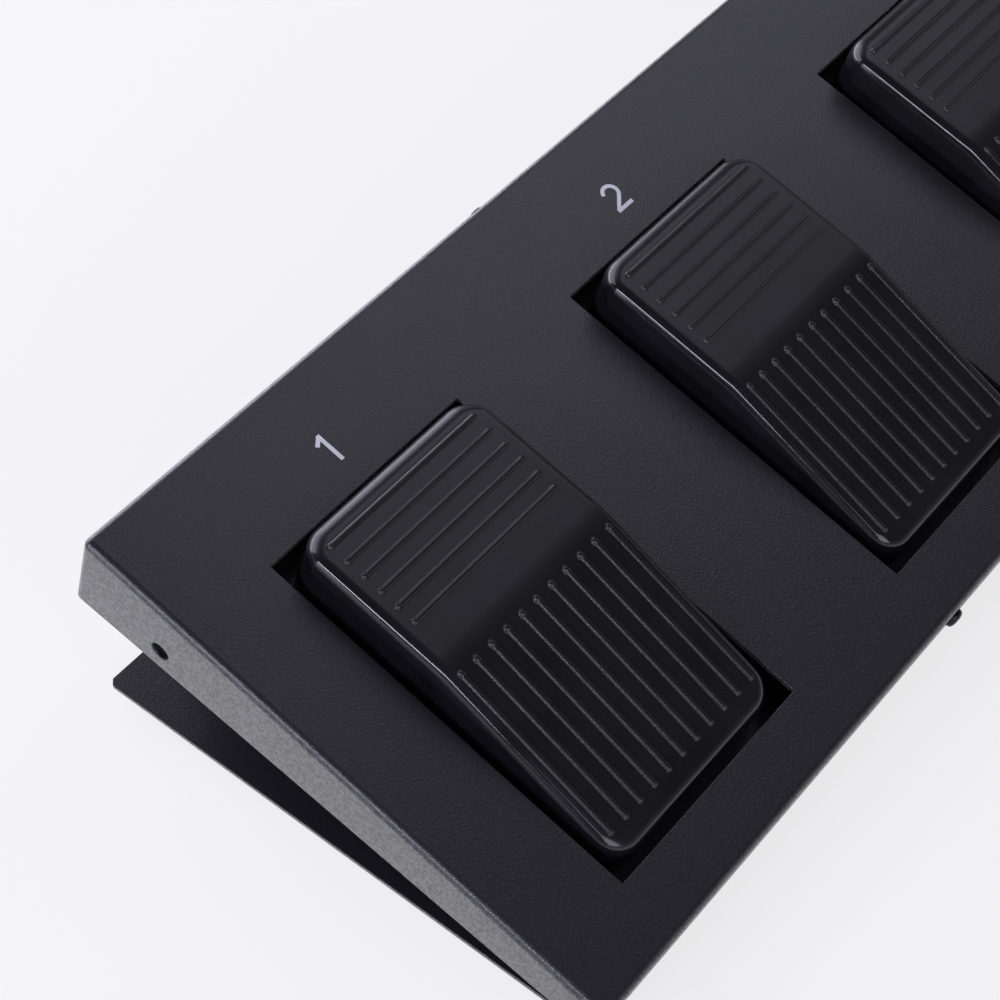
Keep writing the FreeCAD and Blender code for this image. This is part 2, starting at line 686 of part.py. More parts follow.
def make_rear_panel():
    body = new_body("rear_panel")
    back = "-sizes.coverGauge"
    front = "-sizes.coverGauge - sizes.panelGauge"
    profile = outline(body, "fold", "YZ_Plane", [
        ("layout.webY", "layout.baseTop"),
        world(back, "-layout.kneeDrop"),
        world(back, "-sizes.panelLipTop"),
        world(front, "-sizes.panelLipTop"),
        world(front, "-layout.innerKnee"),
        ("layout.webY - sizes.panelGauge", "layout.baseTop + sizes.panelGauge"),
        ("layout.webY - sizes.panelFoot", "layout.baseTop + sizes.panelGauge"),
        ("layout.webY - sizes.panelFoot", "layout.baseTop"),
    ])
    pad(body, profile, "2 * layout.cheekInner", "Symmetric")
    tapped = rounds(
        body, "lip_holes", "XZ_Plane", [(x, "0") for x in SCREW_ROW], "sizes.screwTapped / 2",
        lean=across_slope("-sizes.coverGauge - sizes.panelGauge - sizes.cutPast", "-sizes.backScrewDrop"),
    )
    pocket(body, tapped, "sizes.panelGauge + 2 * sizes.cutPast")
    through = "sizes.panelGauge + 2 * sizes.cutPast"
    ahead = "-layout.webY - sizes.cutPast"
    cut_outs = (
        ("drawer", "sizes.drawerX", "layout.drawerMiddle", "layout.holderWidth", "layout.holderHeight"),
        ("rocker", "sizes.rockerX", "layout.rockerMiddle", "sizes.rockerBodyWidth", "sizes.rockerBodyHeight"),
    )
    for name, x, z, width, height in cut_outs:
        wide = "(%s / 2 + sizes.cutOutGap)" % width
        high = "(%s / 2 + sizes.cutOutGap)" % height
        hole = rectangle(
            body, name + "_hole", "XZ_Plane",
            ("%s - %s" % (x, wide), "%s - %s" % (z, high)), ("%s + %s" % (x, wide), "%s + %s" % (z, high)),
            lift=ahead,
        )
        pocket(body, hole, through, reverse=True)
    lamp = rounds(
        body, "lamp_hole", "XZ_Plane", [("sizes.ledX", "layout.rockerMiddle")],
        "sizes.ledDiameter / 2 + sizes.cutOutGap", lift=ahead,
    )
    pocket(body, lamp, through, reverse=True)
    return body


def make_end_cheek(label, sign):
    body = new_body(label)
    front = "-sizes.coverDepth + sizes.coverGauge + sizes.baseGauge + sizes.cheekGap"
    profile = outline(body, "wedge", "YZ_Plane", [
        world(front, "-layout.baseLine - (%s) * tan(sizes.tilt)" % front),
        world(front, "-sizes.coverGauge"),
        world("-sizes.coverGauge", "-sizes.coverGauge"),
        world("-sizes.coverGauge", "-layout.kneeDrop"),
        ("layout.webY", "layout.baseTop"),
    ], lift="%d * layout.cheekInner" % sign)
    pad(body, profile, "sizes.panelGauge", reverse=sign < 0)
    return body


def hook_box(x, y, play="0"):
    # Low and high corners of a snap hook's stem, or of its slot with some play.
    wide = "(sizes.hookWidth / 2 + %s)" % play
    deep = "(sizes.hookStem / 2 + %s)" % play
    low = ("%s - %s" % (x, wide), "%s - %s" % (y, deep))
    high = ("%s + %s" % (x, wide), "%s + %s" % (y, deep))
    return low, high


def make_pedal_tray():
    body = new_body("pedal_tray")
    rear = "layout.trayRear"
    front = "layout.trayFront"
    gauge = "sizes.panelGauge"
    under = "-sizes.coverGauge"
    floor = "-sizes.trayDepth"
    profile = outline(body, "pan", "YZ_Plane", [
        (rear, under),
        ("%s + %s + sizes.trayLip" % (rear, gauge), under),
        ("%s + %s + sizes.trayLip" % (rear, gauge), "%s - %s" % (under, gauge)),
        ("%s + %s" % (rear, gauge), "%s - %s" % (under, gauge)),
        ("%s + %s" % (rear, gauge), "%s - %s" % (floor, gauge)),
        ("%s - %s" % (front, gauge), "%s - %s" % (floor, gauge)),
        ("%s - %s" % (front, gauge), "%s - %s" % (under, gauge)),
        ("%s - %s - sizes.trayLip" % (front, gauge), "%s - %s" % (under, gauge)),
        ("%s - %s - sizes.trayLip" % (front, gauge), under),
        (front, under),
        (front, floor),
        (rear, floor),
    ])
    pad(body, profile, "2 * layout.cheekInner", "Symmetric")
    for i, (x, y) in enumerate(HOOKS):
        low, high = hook_box("%s + (%s)" % (station_x(0), x), y, "sizes.hookPlay")
        slot = rectangle(body, "slot_%d" % i, "XY_Plane", low, high, lift=floor)
        repeat(body, pocket(body, slot, "2 * " + gauge), "X_Axis", "sizes.stationPitch", STATIONS)
    return on_plate(body)


def make_rubber_feet():
    feet = []
    across = "sizes.coverWidth / 2 - sizes.footInset"
    for i, x in enumerate(("-(%s)" % across, across)):
        for j, y in enumerate(("layout.baseFront + sizes.footInset", "layout.baseBack - sizes.footInset")):
            foot = rod("foot_%d_%d" % (i, j), (x, y, "0"), "z", "sizes.footDiameter", "sizes.footHeight")
            feet.append(foot)
    return group("rubber_feet", feet)


# One pedal station.
def make_pedal(index):
    # Treadle: a wedge with rolled edges over a skirt, hollow from below, ribbed on both fields.
    body = new_body("pedal_%d" % (index + 1))
    side = outline(body, "side", "YZ_Plane", [
        ("layout.pedalRear", "-sizes.skirtRear"),
        ("layout.pedalRear", "sizes.pedalTop"),
        ("layout.bendY", "sizes.pedalTop"),
        ("layout.pedalFront", "layout.noseTop"),
        ("layout.pedalFront", "-sizes.skirtFront"),
    ])
    pad(body, side, "layout.pedalWidth", "Symmetric")
    wall = "sizes.pedalWall"
    inside = outline(body, "inside", "YZ_Plane", [
        ("layout.pedalRear - " + wall, "-sizes.skirtRear - sizes.cutPast"),
        ("layout.pedalRear - " + wall, "sizes.pedalTop - " + wall),
        ("layout.bendY - %s * tan(sizes.pedalSlope / 2)" % wall, "sizes.pedalTop - " + wall),
        ("layout.pedalFront + " + wall,
         "layout.noseTop + {0} * tan(sizes.pedalSlope) - {0} / cos(sizes.pedalSlope)".format(wall)),
        ("layout.pedalFront + " + wall, "-sizes.skirtRear - sizes.cutPast"),
    ])
    hollow = pocket(body, inside, "layout.pedalWidth - 2 * " + wall, "Symmetric")
    edge_x = value("layout.pedalWidth / 2") - 1e-3
    shell = fillet(
        body, hollow, "sizes.pedalCorner - " + wall,
        lambda edge: upright(edge) and abs(edge.BoundBox.XMin) < edge_x,
    )
    lowest = value("layout.noseTop") - 1e-3

    def long_edge(edge):
        box = edge.BoundBox
        return abs(box.XMin) > edge_x and box.XLength < 1e-3 and box.YLength > 1e-3 and box.ZMin > lowest

    fillet(body, shell, "sizes.pedalEdge", long_edge)
    roll_edge(
        body, "rear_roll", ("layout.pedalRear", "sizes.pedalTop - sizes.pedalRoll"),
        ("layout.pedalRear - sizes.pedalRoll", "sizes.pedalTop"), "1", "sizes.pedalRoll",
    )
    reach = "sizes.pedalEdge * tan(45 - sizes.pedalSlope / 2)"
    roll_edge(
        body, "nose_roll", ("layout.pedalFront", "layout.noseTop - " + reach),
        ("layout.pedalFront + %s * cos(sizes.pedalSlope)" % reach,
         "layout.noseTop + %s * sin(sizes.pedalSlope)" % reach), "-1", "sizes.pedalEdge",
    )
    half = "layout.pedalWidth / 2"
    plan = rounded_frame(
        body, "plan", ("-" + half, "layout.pedalFront"), (half, "layout.pedalRear"), "sizes.pedalCorner",
        "sizes.pedalWall",
    )
    pocket(body, plan, None, "Symmetric")
    presser = rectangle(
        body, "presser", "XY_Plane",
        ("-sizes.presserWidth / 2", "layout.plungerY - sizes.presserThick / 2"),
        ("sizes.presserWidth / 2", "layout.plungerY + sizes.presserThick / 2"),
        lift="layout.plungerTop + sizes.pressGap",
    )
    pad(body, presser, "sizes.pedalTop - sizes.pedalWall / 2 - layout.plungerTop - sizes.pressGap")
    hinge = rounds(
        body, "hinge", "YZ_Plane", [("layout.hingeY", "-sizes.hingeDrop")],
        "sizes.pinDiameter / 2 + sizes.pinPlay",
    )
    pocket(body, hinge, None, "Symmetric")

    half = "sizes.ribWidth / 2"
    last = "-sizes.windowBack - sizes.crossRibStart - %d * sizes.crossRibPitch" % (CROSS_RIBS - 1)
    cross = bar(
        body, "cross", ("-sizes.crossRibLength / 2", "%s - %s" % (last, half)),
        ("sizes.crossRibLength / 2", "%s + %s" % (last, half)), "sizes.ribChamfer", lift="sizes.pedalTop",
    )
    first = pad(body, cross, "sizes.ribHeight", "Two sides", "sizes.ribRoot")
    repeat(body, first, "Y_Axis", "sizes.crossRibPitch", CROSS_RIBS)
    lean = ("placement(vector(0; layout.bendY; sizes.pedalTop);"
            " rotation(vector(1; 0; 0); sizes.pedalSlope))")
    outer = "-%d * sizes.longRibPitch" % ((LONG_RIBS - 1) / 2)
    lengthwise = bar(
        body, "lengthwise", ("%s - %s" % (outer, half), "-sizes.longRibStart - sizes.longRibLength"),
        ("%s + %s" % (outer, half), "-sizes.longRibStart"), "sizes.ribChamfer", lean=lean,
    )
    second = pad(body, lengthwise, "sizes.ribHeight", "Two sides", "sizes.ribRoot")
    repeat(body, second, "X_Axis", "sizes.longRibPitch", LONG_RIBS)
    return on_plate(body, station_x(index))


def make_pedal_base(index):
    body = new_body("pedal_base_%d" % (index + 1))
    side = outline(body, "side", "YZ_Plane", [
        ("layout.pedalBaseRear", "-sizes.trayDepth"),
        ("layout.pedalBaseRear", "-sizes.baseRearDrop"),
        ("layout.pedalBaseRear - sizes.baseRimLevel", "-sizes.baseRearDrop"),
        ("layout.pedalBaseFront", "-sizes.baseFrontDrop"),
        ("layout.pedalBaseFront", "-sizes.trayDepth"),
    ])
    solid = pad(body, side, "2 * layout.pedalBaseHalf", "Symmetric")
    chamfer(body, solid, "(sizes.pedalCorner - sizes.pedalWall - sizes.sideGap) / sqrt(2)", upright)
    inside = rectangle(
        body, "inside", "YZ_Plane",
        ("layout.pedalBaseFront + sizes.baseWall", "layout.floorTop"),
        ("layout.pedalBaseRear - sizes.baseWall", "0"),
    )
    pocket(body, inside, "2 * (layout.pedalBaseHalf - sizes.baseWall)", "Symmetric")
    hinge = rounds(
        body, "hinge", "YZ_Plane", [("layout.hingeY", "-sizes.hingeDrop")],
        "sizes.pinDiameter / 2 + sizes.pinGrip",
    )
    pocket(body, hinge, None, "Symmetric")
    rail = "sizes.switchWidth / 2 + sizes.railPlay"
    front = "layout.plungerY + sizes.switchBehind - sizes.switchLength"
    back = "layout.plungerY + sizes.switchBehind"
    for name, low in (("left", "-(%s) - sizes.baseWall" % rail), ("right", rail)):
        wall = rectangle(
            body, name + "_rail", "XY_Plane", (low, front), (low + " + sizes.baseWall", back),
            lift="layout.floorTop",
        )
        pad(body, wall, "sizes.railHeight")
    for i, (x, y) in enumerate(HOOKS):
        low, high = hook_box(x, y)
        stem = rectangle(body, "stem_%d" % i, "XY_Plane", low, high, lift="-sizes.trayDepth")
        under = "(sizes.panelGauge + sizes.hookPlay)"
        pad(body, stem, "%s + sizes.hookHeight" % under, reverse=True)
        barb = rectangle(
            body, "barb_%d" % i, "XY_Plane", low,
            (high[0], high[1] + " + sizes.hookPlay + sizes.hookBarb"), lift="-sizes.trayDepth - " + under,
        )
        pad(body, barb, "sizes.hookHeight", reverse=True)
    return on_plate(body, station_x(index))


def make_hinge_pin(index):
    length = "layout.pedalWidth - sizes.pedalWall / 2"
    place = ("-(%s) / 2" % length, "layout.hingeY", "-sizes.hingeDrop")
    pin = rod("pin_%d_rod" % (index + 1), place, "x", "sizes.pinDiameter", length)
    return on_plate(group("hinge_pin_%d" % (index + 1), [pin]), station_x(index))


def make_micro_switch(index):
    number = index + 1
    front = "layout.plungerY + sizes.switchBehind - sizes.switchLength"
    case = middle_block(
        "switch_%d_case" % number, "sizes.switchWidth", front, "layout.floorTop",
        "sizes.switchLength", "sizes.switchHeight",
    )
    wide = "(sizes.plungerWidth + 2 * sizes.plungerPlay)"
    deep = "(sizes.plungerDepth + 2 * sizes.plungerPlay)"
    bore = middle_block(
        "switch_%d_bore" % number, wide, "layout.plungerY - %s / 2" % deep,
        "layout.switchTop - sizes.plungerBore", deep, "sizes.plungerBore",
    )
    return on_plate(cut("micro_switch_%d" % number, case, bore), station_x(index))


def make_switch_plunger(index):
    number = index + 1
    button = middle_block(
        "plunger_%d_block" % number, "sizes.plungerWidth", "layout.plungerY - sizes.plungerDepth / 2",
        "layout.plungerTop - sizes.plungerLength", "sizes.plungerDepth", "sizes.plungerLength",
    )
    return on_plate(group("switch_plunger_%d" % number, [button]), station_x(index))


def make_return_spring(index):
    # Bent strip: a foot on the pedal base, a leg up to the pedal and a short rest under it.
    body = new_body("return_spring_%d" % (index + 1))
    gauge = "sizes.springGauge"
    tip = ("layout.springTipY", "layout.springTipZ")
    half_sum = "((sizes.springLean + sizes.pedalSlope) / 2)"
    half_turn = "((sizes.springLean - sizes.pedalSlope) / 2)"
    tail = (
        "layout.springTipY + sizes.springTail * cos(sizes.pedalSlope)",
        "layout.springTipZ + sizes.springTail * sin(sizes.pedalSlope)",
    )
    profile = outline(body, "strip", "YZ_Plane", [
        tail,
        tip,
        ("layout.springKnee", "layout.floorTop + " + gauge),
        ("layout.springKnee - sizes.springFoot", "layout.floorTop + " + gauge),
        ("layout.springKnee - sizes.springFoot", "layout.floorTop"),
        ("layout.springKnee + %s * tan(sizes.springLean / 2)" % gauge, "layout.floorTop"),
        ("%s + %s * sin%s / cos%s" % (tip[0], gauge, half_sum, half_turn),
         "%s - %s * cos%s / cos%s" % (tip[1], gauge, half_sum, half_turn)),
        ("%s + %s * sin(sizes.pedalSlope)" % (tail[0], gauge),
         "%s - %s * cos(sizes.pedalSlope)" % (tail[1], gauge)),
    ])
    pad(body, profile, "sizes.springWidth", "Symmetric")
    return on_plate(body, station_x(index))


# Fasteners along the slope, each a round head on a six-sided shank within the thread.
def make_screws(label, y, drop, head_first):
    screws = []
    length = "sizes.screwLength"
    for i, x in enumerate(SCREW_ROW):
        tag = "%s_%d" % (label, i)
        head_y = y + " - sizes.screwHeadHeight" if head_first else y
        shank_y = y if head_first else "%s - (%s)" % (y, length)
        head = rod(tag + "_head", (x, head_y, "-" + drop), "y", "sizes.screwHead", "sizes.screwHeadHeight")
        shank = hexagon(tag + "_shank", (x, shank_y, "-" + drop), "y", "sizes.screwShank", length)
        screws.append(join(tag, [head, shank]))
    return on_plate(group(label, screws))


def make_front_screws():
    return make_screws("front_screws", "-sizes.coverDepth", "sizes.frontScrewDrop", True)


def make_rear_screws():
    return make_screws("rear_screws", "0", "sizes.backScrewDrop", False)


# Battery drawer in the rear panel.
def drawer_block(name, width, low_y, low_z, depth, height):
    return middle_block(name, width, low_y, low_z, depth, height, x="sizes.drawerX")


def make_battery_holder():
    outer = drawer_block(
        "holder_outer", "layout.holderWidth", "layout.holderEnd",
        "layout.drawerMiddle - layout.holderHeight / 2", "sizes.holderLength", "layout.holderHeight",
    )
    bezel = drawer_block(
        "holder_bezel", "layout.holderWidth + 2 * sizes.bezelSide", "layout.webY",
        "layout.drawerMiddle - layout.holderHeight / 2 - sizes.bezelEdge",
        "sizes.bezelThick", "layout.holderHeight + 2 * sizes.bezelEdge",
    )
    cavity = drawer_block(
        "holder_cavity", "layout.cavityWidth", "layout.holderEnd + sizes.holderWall", "layout.cavityFloor",
        "sizes.holderLength + sizes.bezelThick", "layout.cavityHeight",
    )
    return cut("battery_holder", join("holder_solid", [outer, bezel]), cavity)


def make_battery_drawer():
    start = "layout.batteryEnd - sizes.drawerPlay - sizes.drawerWall"
    face = "layout.webY + sizes.bezelThick + sizes.drawerPlay"
    low = "layout.cavityFloor + sizes.drawerPlay"
    length = "%s - (%s)" % (face, start)
    floor = drawer_block("drawer_floor", "layout.drawerWidth", start, low, length, "sizes.drawerWall")
    end = drawer_block("drawer_end", "layout.drawerWidth", start, low, "sizes.drawerWall", "sizes.drawerStop")
    front = drawer_block(
        "drawer_front", "layout.holderWidth + sizes.bezelSide", face,
        "layout.drawerMiddle - layout.holderHeight / 2", "sizes.drawerFace", "layout.holderHeight",
    )
    sides = []
    far = "layout.drawerWidth / 2 - sizes.drawerWall"
    for name, x in (("left", "-layout.drawerWidth / 2"), ("right", far)):
        sides.append(block(
            "drawer_side_" + name, ("sizes.drawerX + " + x, start, low),
            ("sizes.drawerWall", length, "sizes.drawerSide"),
        ))
    solid = join("drawer_solid", [floor, end, front] + sides)
    scoop = rod("drawer_scoop", (
        "sizes.drawerX - sizes.scoopWidth / 2",
        face + " + sizes.drawerFace + sizes.scoopDiameter / 4",
        "layout.drawerMiddle + layout.holderHeight / 2 - sizes.scoopDrop",
    ), "x", "sizes.scoopDiameter", "sizes.scoopWidth")
    return cut("battery_drawer", solid, scoop)


def make_battery():
    case = drawer_block(
        "battery_case", "sizes.batteryWidth", "layout.batteryEnd", "layout.batteryLow",
        "sizes.batteryLength", "sizes.batteryHeight",
    )
    end = "layout.batteryEnd - sizes.studRise"
    plus = rod(
        "battery_plus", ("sizes.drawerX - sizes.studSide", end, "layout.batteryMiddle"), "y",
        "sizes.plusStud", "sizes.studRise",
    )
    minus = hexagon(
        "battery_minus", ("sizes.drawerX + sizes.studSide", end, "layout.batteryMiddle"), "y",
        "sizes.minusStud", "sizes.studRise",
    )
    return join("battery", [case, plus, minus])


def make_battery_contacts():
    # Two sprung tabs that reach from the holder's end wall to the battery's studs.
    tabs = []
    gauge = "sizes.contactGauge"
    low = "layout.batteryMiddle - sizes.contactHeight / 2"
    inner = "layout.holderEnd + sizes.holderWall"
    tip = "layout.batteryEnd - sizes.studRise - sizes.contactGap"
    for name, side in (("plus", "-"), ("minus", "+")):
        x = "sizes.drawerX %s sizes.studSide - sizes.contactWidth / 2" % side
        tab = ("sizes.contactWidth", gauge, "sizes.contactHeight")
        strip = ("sizes.contactWidth", "%s - (%s)" % (tip, inner), gauge)
        plate = block("contact_%s_plate" % name, (x, inner, low), tab)
        arm = block("contact_%s_arm" % name, (x, inner, low), strip)
        face = block("contact_%s_face" % name, (x, "%s - %s" % (tip, gauge), low), tab)
        tabs.append(join("contact_" + name, [plate, arm, face]))
    return group("battery_contacts", tabs)


# Power switch and lamp beside it.
def rocker_block(name, width, low_y, depth, height):
    return middle_block(
        name, width, low_y, "layout.rockerMiddle - (%s) / 2" % height, depth, height, x="sizes.rockerX",
    )


def make_power_switch():
    case = rocker_block(
        "power_case", "sizes.rockerBodyWidth", "layout.webY - sizes.rockerBodyDepth",
        "sizes.rockerBodyDepth", "sizes.rockerBodyHeight",
    )
    bezel = rocker_block(
        "power_bezel", "sizes.rockerBezelWidth", "layout.webY", "sizes.bezelThick", "sizes.rockerBezelHeight",
    )
    tags = []
    for name, side in (("common", "-"), ("live", "+")):
        tags.append(middle_block(
            "power_tag_" + name, "sizes.tagGauge", "layout.webY - sizes.rockerBodyDepth - sizes.tagLength",
            "layout.rockerMiddle - sizes.tagWidth / 2", "sizes.tagLength + sizes.tagGauge", "sizes.tagWidth",
            x="sizes.rockerX %s sizes.tagSide" % side,
        ))
    well = rocker_block(
        "power_well", "sizes.rockerLength + 2 * sizes.rockerPlay", "layout.rockerFace - sizes.rockerWell",
        "2 * sizes.rockerWell", "sizes.rockerHeight + sizes.rockerPlay",
    )
    return cut("power_switch_body", join("power_solid", [case, bezel] + tags), well)


def make_power_rocker():
    # Shallow V in plan, tipped to its off side about the upright axis in the switch body.
    body = new_body("power_rocker")
    half = "sizes.rockerLength / 2"
    plan = outline(body, "plan", "XY_Plane", [
        ("-%s" % half, "sizes.rockerEnd"),
        ("0", "sizes.rockerDip"),
        (half, "sizes.rockerEnd"),
        ("%s - sizes.rockerTaper" % half, "-sizes.rockerKeel"),
        ("-%s + sizes.rockerTaper" % half, "-sizes.rockerKeel"),
    ])
    pad(body, plan, "sizes.rockerHeight", "Symmetric")
    body.setExpression(
        "Placement",
        "placement(vector(sizes.rockerX; layout.rockerFace - sizes.rockerPivot; layout.rockerMiddle);"
        " rotation(vector(0; 0; 1); sizes.rockerTip))",
    )
    return body


def make_status_led():
    place = ("sizes.ledX", "layout.webY - sizes.ledStem", "layout.rockerMiddle")
    stem = rod("led_stem", place, "y", "sizes.ledDiameter", "sizes.ledStem + sizes.ledReach")
    return group("status_led", [stem])


def make_led_clip():
    place = ("sizes.ledX", "layout.webY", "layout.rockerMiddle")
    flange = rod("clip_flange", place, "y", "sizes.ledClip", "sizes.ledStand")
    bore = rod("clip_bore", place, "y", "sizes.ledDiameter + 2 * sizes.clipPlay", "sizes.ledStand")
    return cut("led_clip", flange, bore)


# Transmitter board on pillars over the base.
def board_corners():
    xs = ("-sizes.boardWidth / 2 + sizes.pillarInset", "sizes.boardWidth / 2 - sizes.pillarInset")
    ys = ("layout.boardFront + sizes.pillarInset", "layout.boardBack - sizes.pillarInset")
    return [(x, y) for x in xs for y in ys]


def on_board(name, x, back, width, depth, height, lift="0"):
    # Box standing on the board, its middle at x and a distance in front of the board's back edge.
    return middle_block(
        name, width, "layout.boardBack - (%s) - (%s) / 2" % (back, depth), "layout.boardTop + " + lift,
        depth, height, x=x,
    )


def make_circuit_board():
    plate = middle_block(
        "board_plate", "sizes.boardWidth", "layout.boardFront", "layout.boardTop - sizes.boardThick",
        "sizes.boardDepth", "sizes.boardThick",
    )
    holes = []
    for i, (x, y) in enumerate(board_corners()):
        low = "layout.boardTop - sizes.boardThick"
        across = "sizes.pillarNeck + 2 * sizes.pillarPlay"
        holes.append(hexagon("board_hole_%d" % i, (x, y, low), "z", across, "sizes.boardThick"))
    return cut("circuit_board", plate, group("board_holes", holes))


def make_board_supports():
    supports = []
    for i, (x, y) in enumerate(board_corners()):
        tag = "support_%d_" % i
        foot = (x, y, "layout.baseTop")
        reach = "sizes.boardLift + sizes.boardThick + sizes.pillarHeadHeight"
        top = (x, y, "layout.boardTop")
        post = hexagon(tag + "post", foot, "z", "sizes.pillarAcross", "sizes.boardLift")
        neck = hexagon(tag + "neck", foot, "z", "sizes.pillarNeck", reach)
        head = hexagon(tag + "head", top, "z", "sizes.pillarHead", "sizes.pillarHeadHeight")
        supports.append(join("support_%d" % i, [post, neck, head]))
    return group("board_supports", supports)


def make_radio_module():
    carrier = on_board(
        "radio_carrier", "sizes.radioX", "sizes.radioBack", "sizes.carrierWidth", "sizes.carrierDepth",
        "sizes.carrierThick",
    )
    can = on_board(
        "radio_can", "sizes.radioX", "sizes.radioBack", "sizes.canWidth", "sizes.canDepth", "sizes.canHeight",
    )
    return join("radio_module", [carrier, can])


def make_antenna():
    # Quarter-wave wire, level from the side of the radio module.
    place = (
        "sizes.radioX - sizes.carrierWidth / 2 - sizes.antennaRun",
        "layout.boardBack - sizes.radioBack + sizes.carrierDepth / 2 - sizes.antennaEdge",
        "layout.boardTop + sizes.antennaLift",
    )
    wire = hexagon("antenna_wire", place, "x", "sizes.antennaDiameter", "sizes.antennaRun")
    return group("antenna", [wire])


def make_control_chip():
    full = "sizes.chipSide + 2 * sizes.chipLegs"
    legs = on_board("chip_legs", "sizes.chipX", "sizes.chipBack", full, full, "sizes.chipLegHeight")
    case = on_board(
        "chip_case", "sizes.chipX", "sizes.chipBack", "sizes.chipSide", "sizes.chipSide", "sizes.chipHeight",
    )
    return join("control_chip", [legs, case])


def make_capacitors():
    cans = []
    for i in range(CAPACITORS):
        x = "sizes.capacitorX + %d * sizes.capacitorPitch" % i
        place = (x, "layout.boardBack - sizes.capacitorBack", "layout.boardTop")
        cans.append(rod("capacitor_%d" % i, place, "z", "sizes.capacitorDiameter", "sizes.capacitorHeight"))
    return group("capacitors", cans)


def make_crystal():
    rim = "2 * sizes.crystalRim"
    foot = on_board(
        "crystal_foot", "sizes.crystalX", "sizes.crystalBack", "sizes.crystalLength + " + rim,
        "sizes.crystalWidth + " + rim, "sizes.crystalRim",
    )
    can = on_board(
        "crystal_can", "sizes.crystalX", "sizes.crystalBack", "sizes.crystalLength", "sizes.crystalWidth",
        "sizes.crystalHeight",
    )
    return join("crystal", [foot, can])


def make_plug_headers():
    # One header for each pedal switch along the board's front edge and one behind for the battery.
    back = "sizes.boardDepth - sizes.headerDepth / 2 - sizes.headerWall"
    spots = [("%s * sizes.headerPitch" % (i - (STATIONS - 1) / 2), back) for i in range(STATIONS)]
    spots.append(("0", "sizes.headerDepth / 2 + sizes.headerWall"))
    headers = []
    for i, (x, y) in enumerate(spots):
        outer = on_board(
            "header_%d_outer" % i, x, y, "sizes.headerWidth", "sizes.headerDepth", "sizes.headerHeight",
        )
        inner = on_board(
            "header_%d_inner" % i, x, y, "sizes.headerWidth - 2 * sizes.headerWall",
            "sizes.headerDepth - 2 * sizes.headerWall", "sizes.headerHeight", lift="sizes.headerFloor",
        )
        headers.append(cut("header_%d" % i, outer, inner))
    return group("plug_headers", headers)


nodes = [
    make_top_cover(),
    make_side_nuts(),
    make_base_plate(),
    make_rear_panel(),
    make_end_cheek("end_cheek_left", -1),
    make_end_cheek("end_cheek_right", 1),
    make_pedal_tray(),
    make_rubber_feet(),
    make_front_screws(),
    make_rear_screws(),
    make_battery_holder(),
    make_battery_drawer(),
    make_battery(),
    make_battery_contacts(),
    make_power_switch(),
    make_power_rocker(),
    make_status_led(),
    make_led_clip(),
    make_circuit_board(),
    make_board_supports(),
    make_radio_module(),
    make_antenna(),
    make_control_chip(),
    make_capacitors(),
    make_crystal(),
    make_plug_headers(),
]
for station in range(STATIONS):
    nodes += [
        make_pedal(station),
        make_pedal_base(station),
        make_hinge_pin(station),
        make_return_spring(station),
        make_micro_switch(station),
        make_switch_plunger(station),
    ]

doc.recompute()
for item in doc.Objects:
    if "Invalid" in item.State or "Error" in item.State:
        raise RuntimeError("%s failed: %s" % (item.Label, item.State))
for node in nodes:
    if node.Shape.isNull() or not node.Shape.isValid() or node.Shape.Volume <= 0:
        raise RuntimeError(node.Label + " has no sound shape")

os.makedirs("parts", exist_ok=True)
for node in nodes:
    node.Shape.exportStep(os.path.join("parts", node.Label + ".step"))
    print("%-20s %2d solids %10.1f mm3" % (node.Label, len(node.Shape.Solids), node.Shape.Volume))
whole = Part.makeCompound([node.Shape for node in nodes]).BoundBox
print("box %.2f %.2f %.2f to %.2f %.2f %.2f" % (
    whole.XMin, whole.YMin, whole.ZMin, whole.XMax, whole.YMax, whole.ZMax))
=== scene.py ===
import json
import math
import bmesh
import bpy
import numpy as np
from mathutils import Matrix, Vector


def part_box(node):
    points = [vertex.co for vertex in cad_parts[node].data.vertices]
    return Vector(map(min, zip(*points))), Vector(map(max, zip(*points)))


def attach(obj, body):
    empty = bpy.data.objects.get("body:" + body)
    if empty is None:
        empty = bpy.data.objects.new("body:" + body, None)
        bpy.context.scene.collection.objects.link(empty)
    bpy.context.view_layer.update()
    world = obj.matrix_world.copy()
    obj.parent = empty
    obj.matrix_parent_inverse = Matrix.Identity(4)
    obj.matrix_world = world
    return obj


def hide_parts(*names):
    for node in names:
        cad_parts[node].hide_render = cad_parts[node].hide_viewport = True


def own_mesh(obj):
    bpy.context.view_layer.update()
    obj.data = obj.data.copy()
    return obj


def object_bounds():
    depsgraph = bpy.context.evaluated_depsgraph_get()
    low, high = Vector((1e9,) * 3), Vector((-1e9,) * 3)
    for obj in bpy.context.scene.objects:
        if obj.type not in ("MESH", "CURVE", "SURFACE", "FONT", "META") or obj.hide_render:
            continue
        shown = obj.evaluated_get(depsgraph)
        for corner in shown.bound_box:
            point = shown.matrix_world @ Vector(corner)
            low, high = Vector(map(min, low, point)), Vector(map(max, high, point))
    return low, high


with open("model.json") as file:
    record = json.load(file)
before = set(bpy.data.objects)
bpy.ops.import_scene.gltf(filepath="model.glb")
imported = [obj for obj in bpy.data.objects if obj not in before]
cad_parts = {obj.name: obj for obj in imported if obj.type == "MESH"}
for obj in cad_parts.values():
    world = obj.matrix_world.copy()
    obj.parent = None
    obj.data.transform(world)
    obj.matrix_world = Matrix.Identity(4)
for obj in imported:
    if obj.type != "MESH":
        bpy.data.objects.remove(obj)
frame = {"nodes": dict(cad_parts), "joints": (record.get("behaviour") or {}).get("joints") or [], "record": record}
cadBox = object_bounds()
print("frame loaded:", len(frame["nodes"]), "nodes")

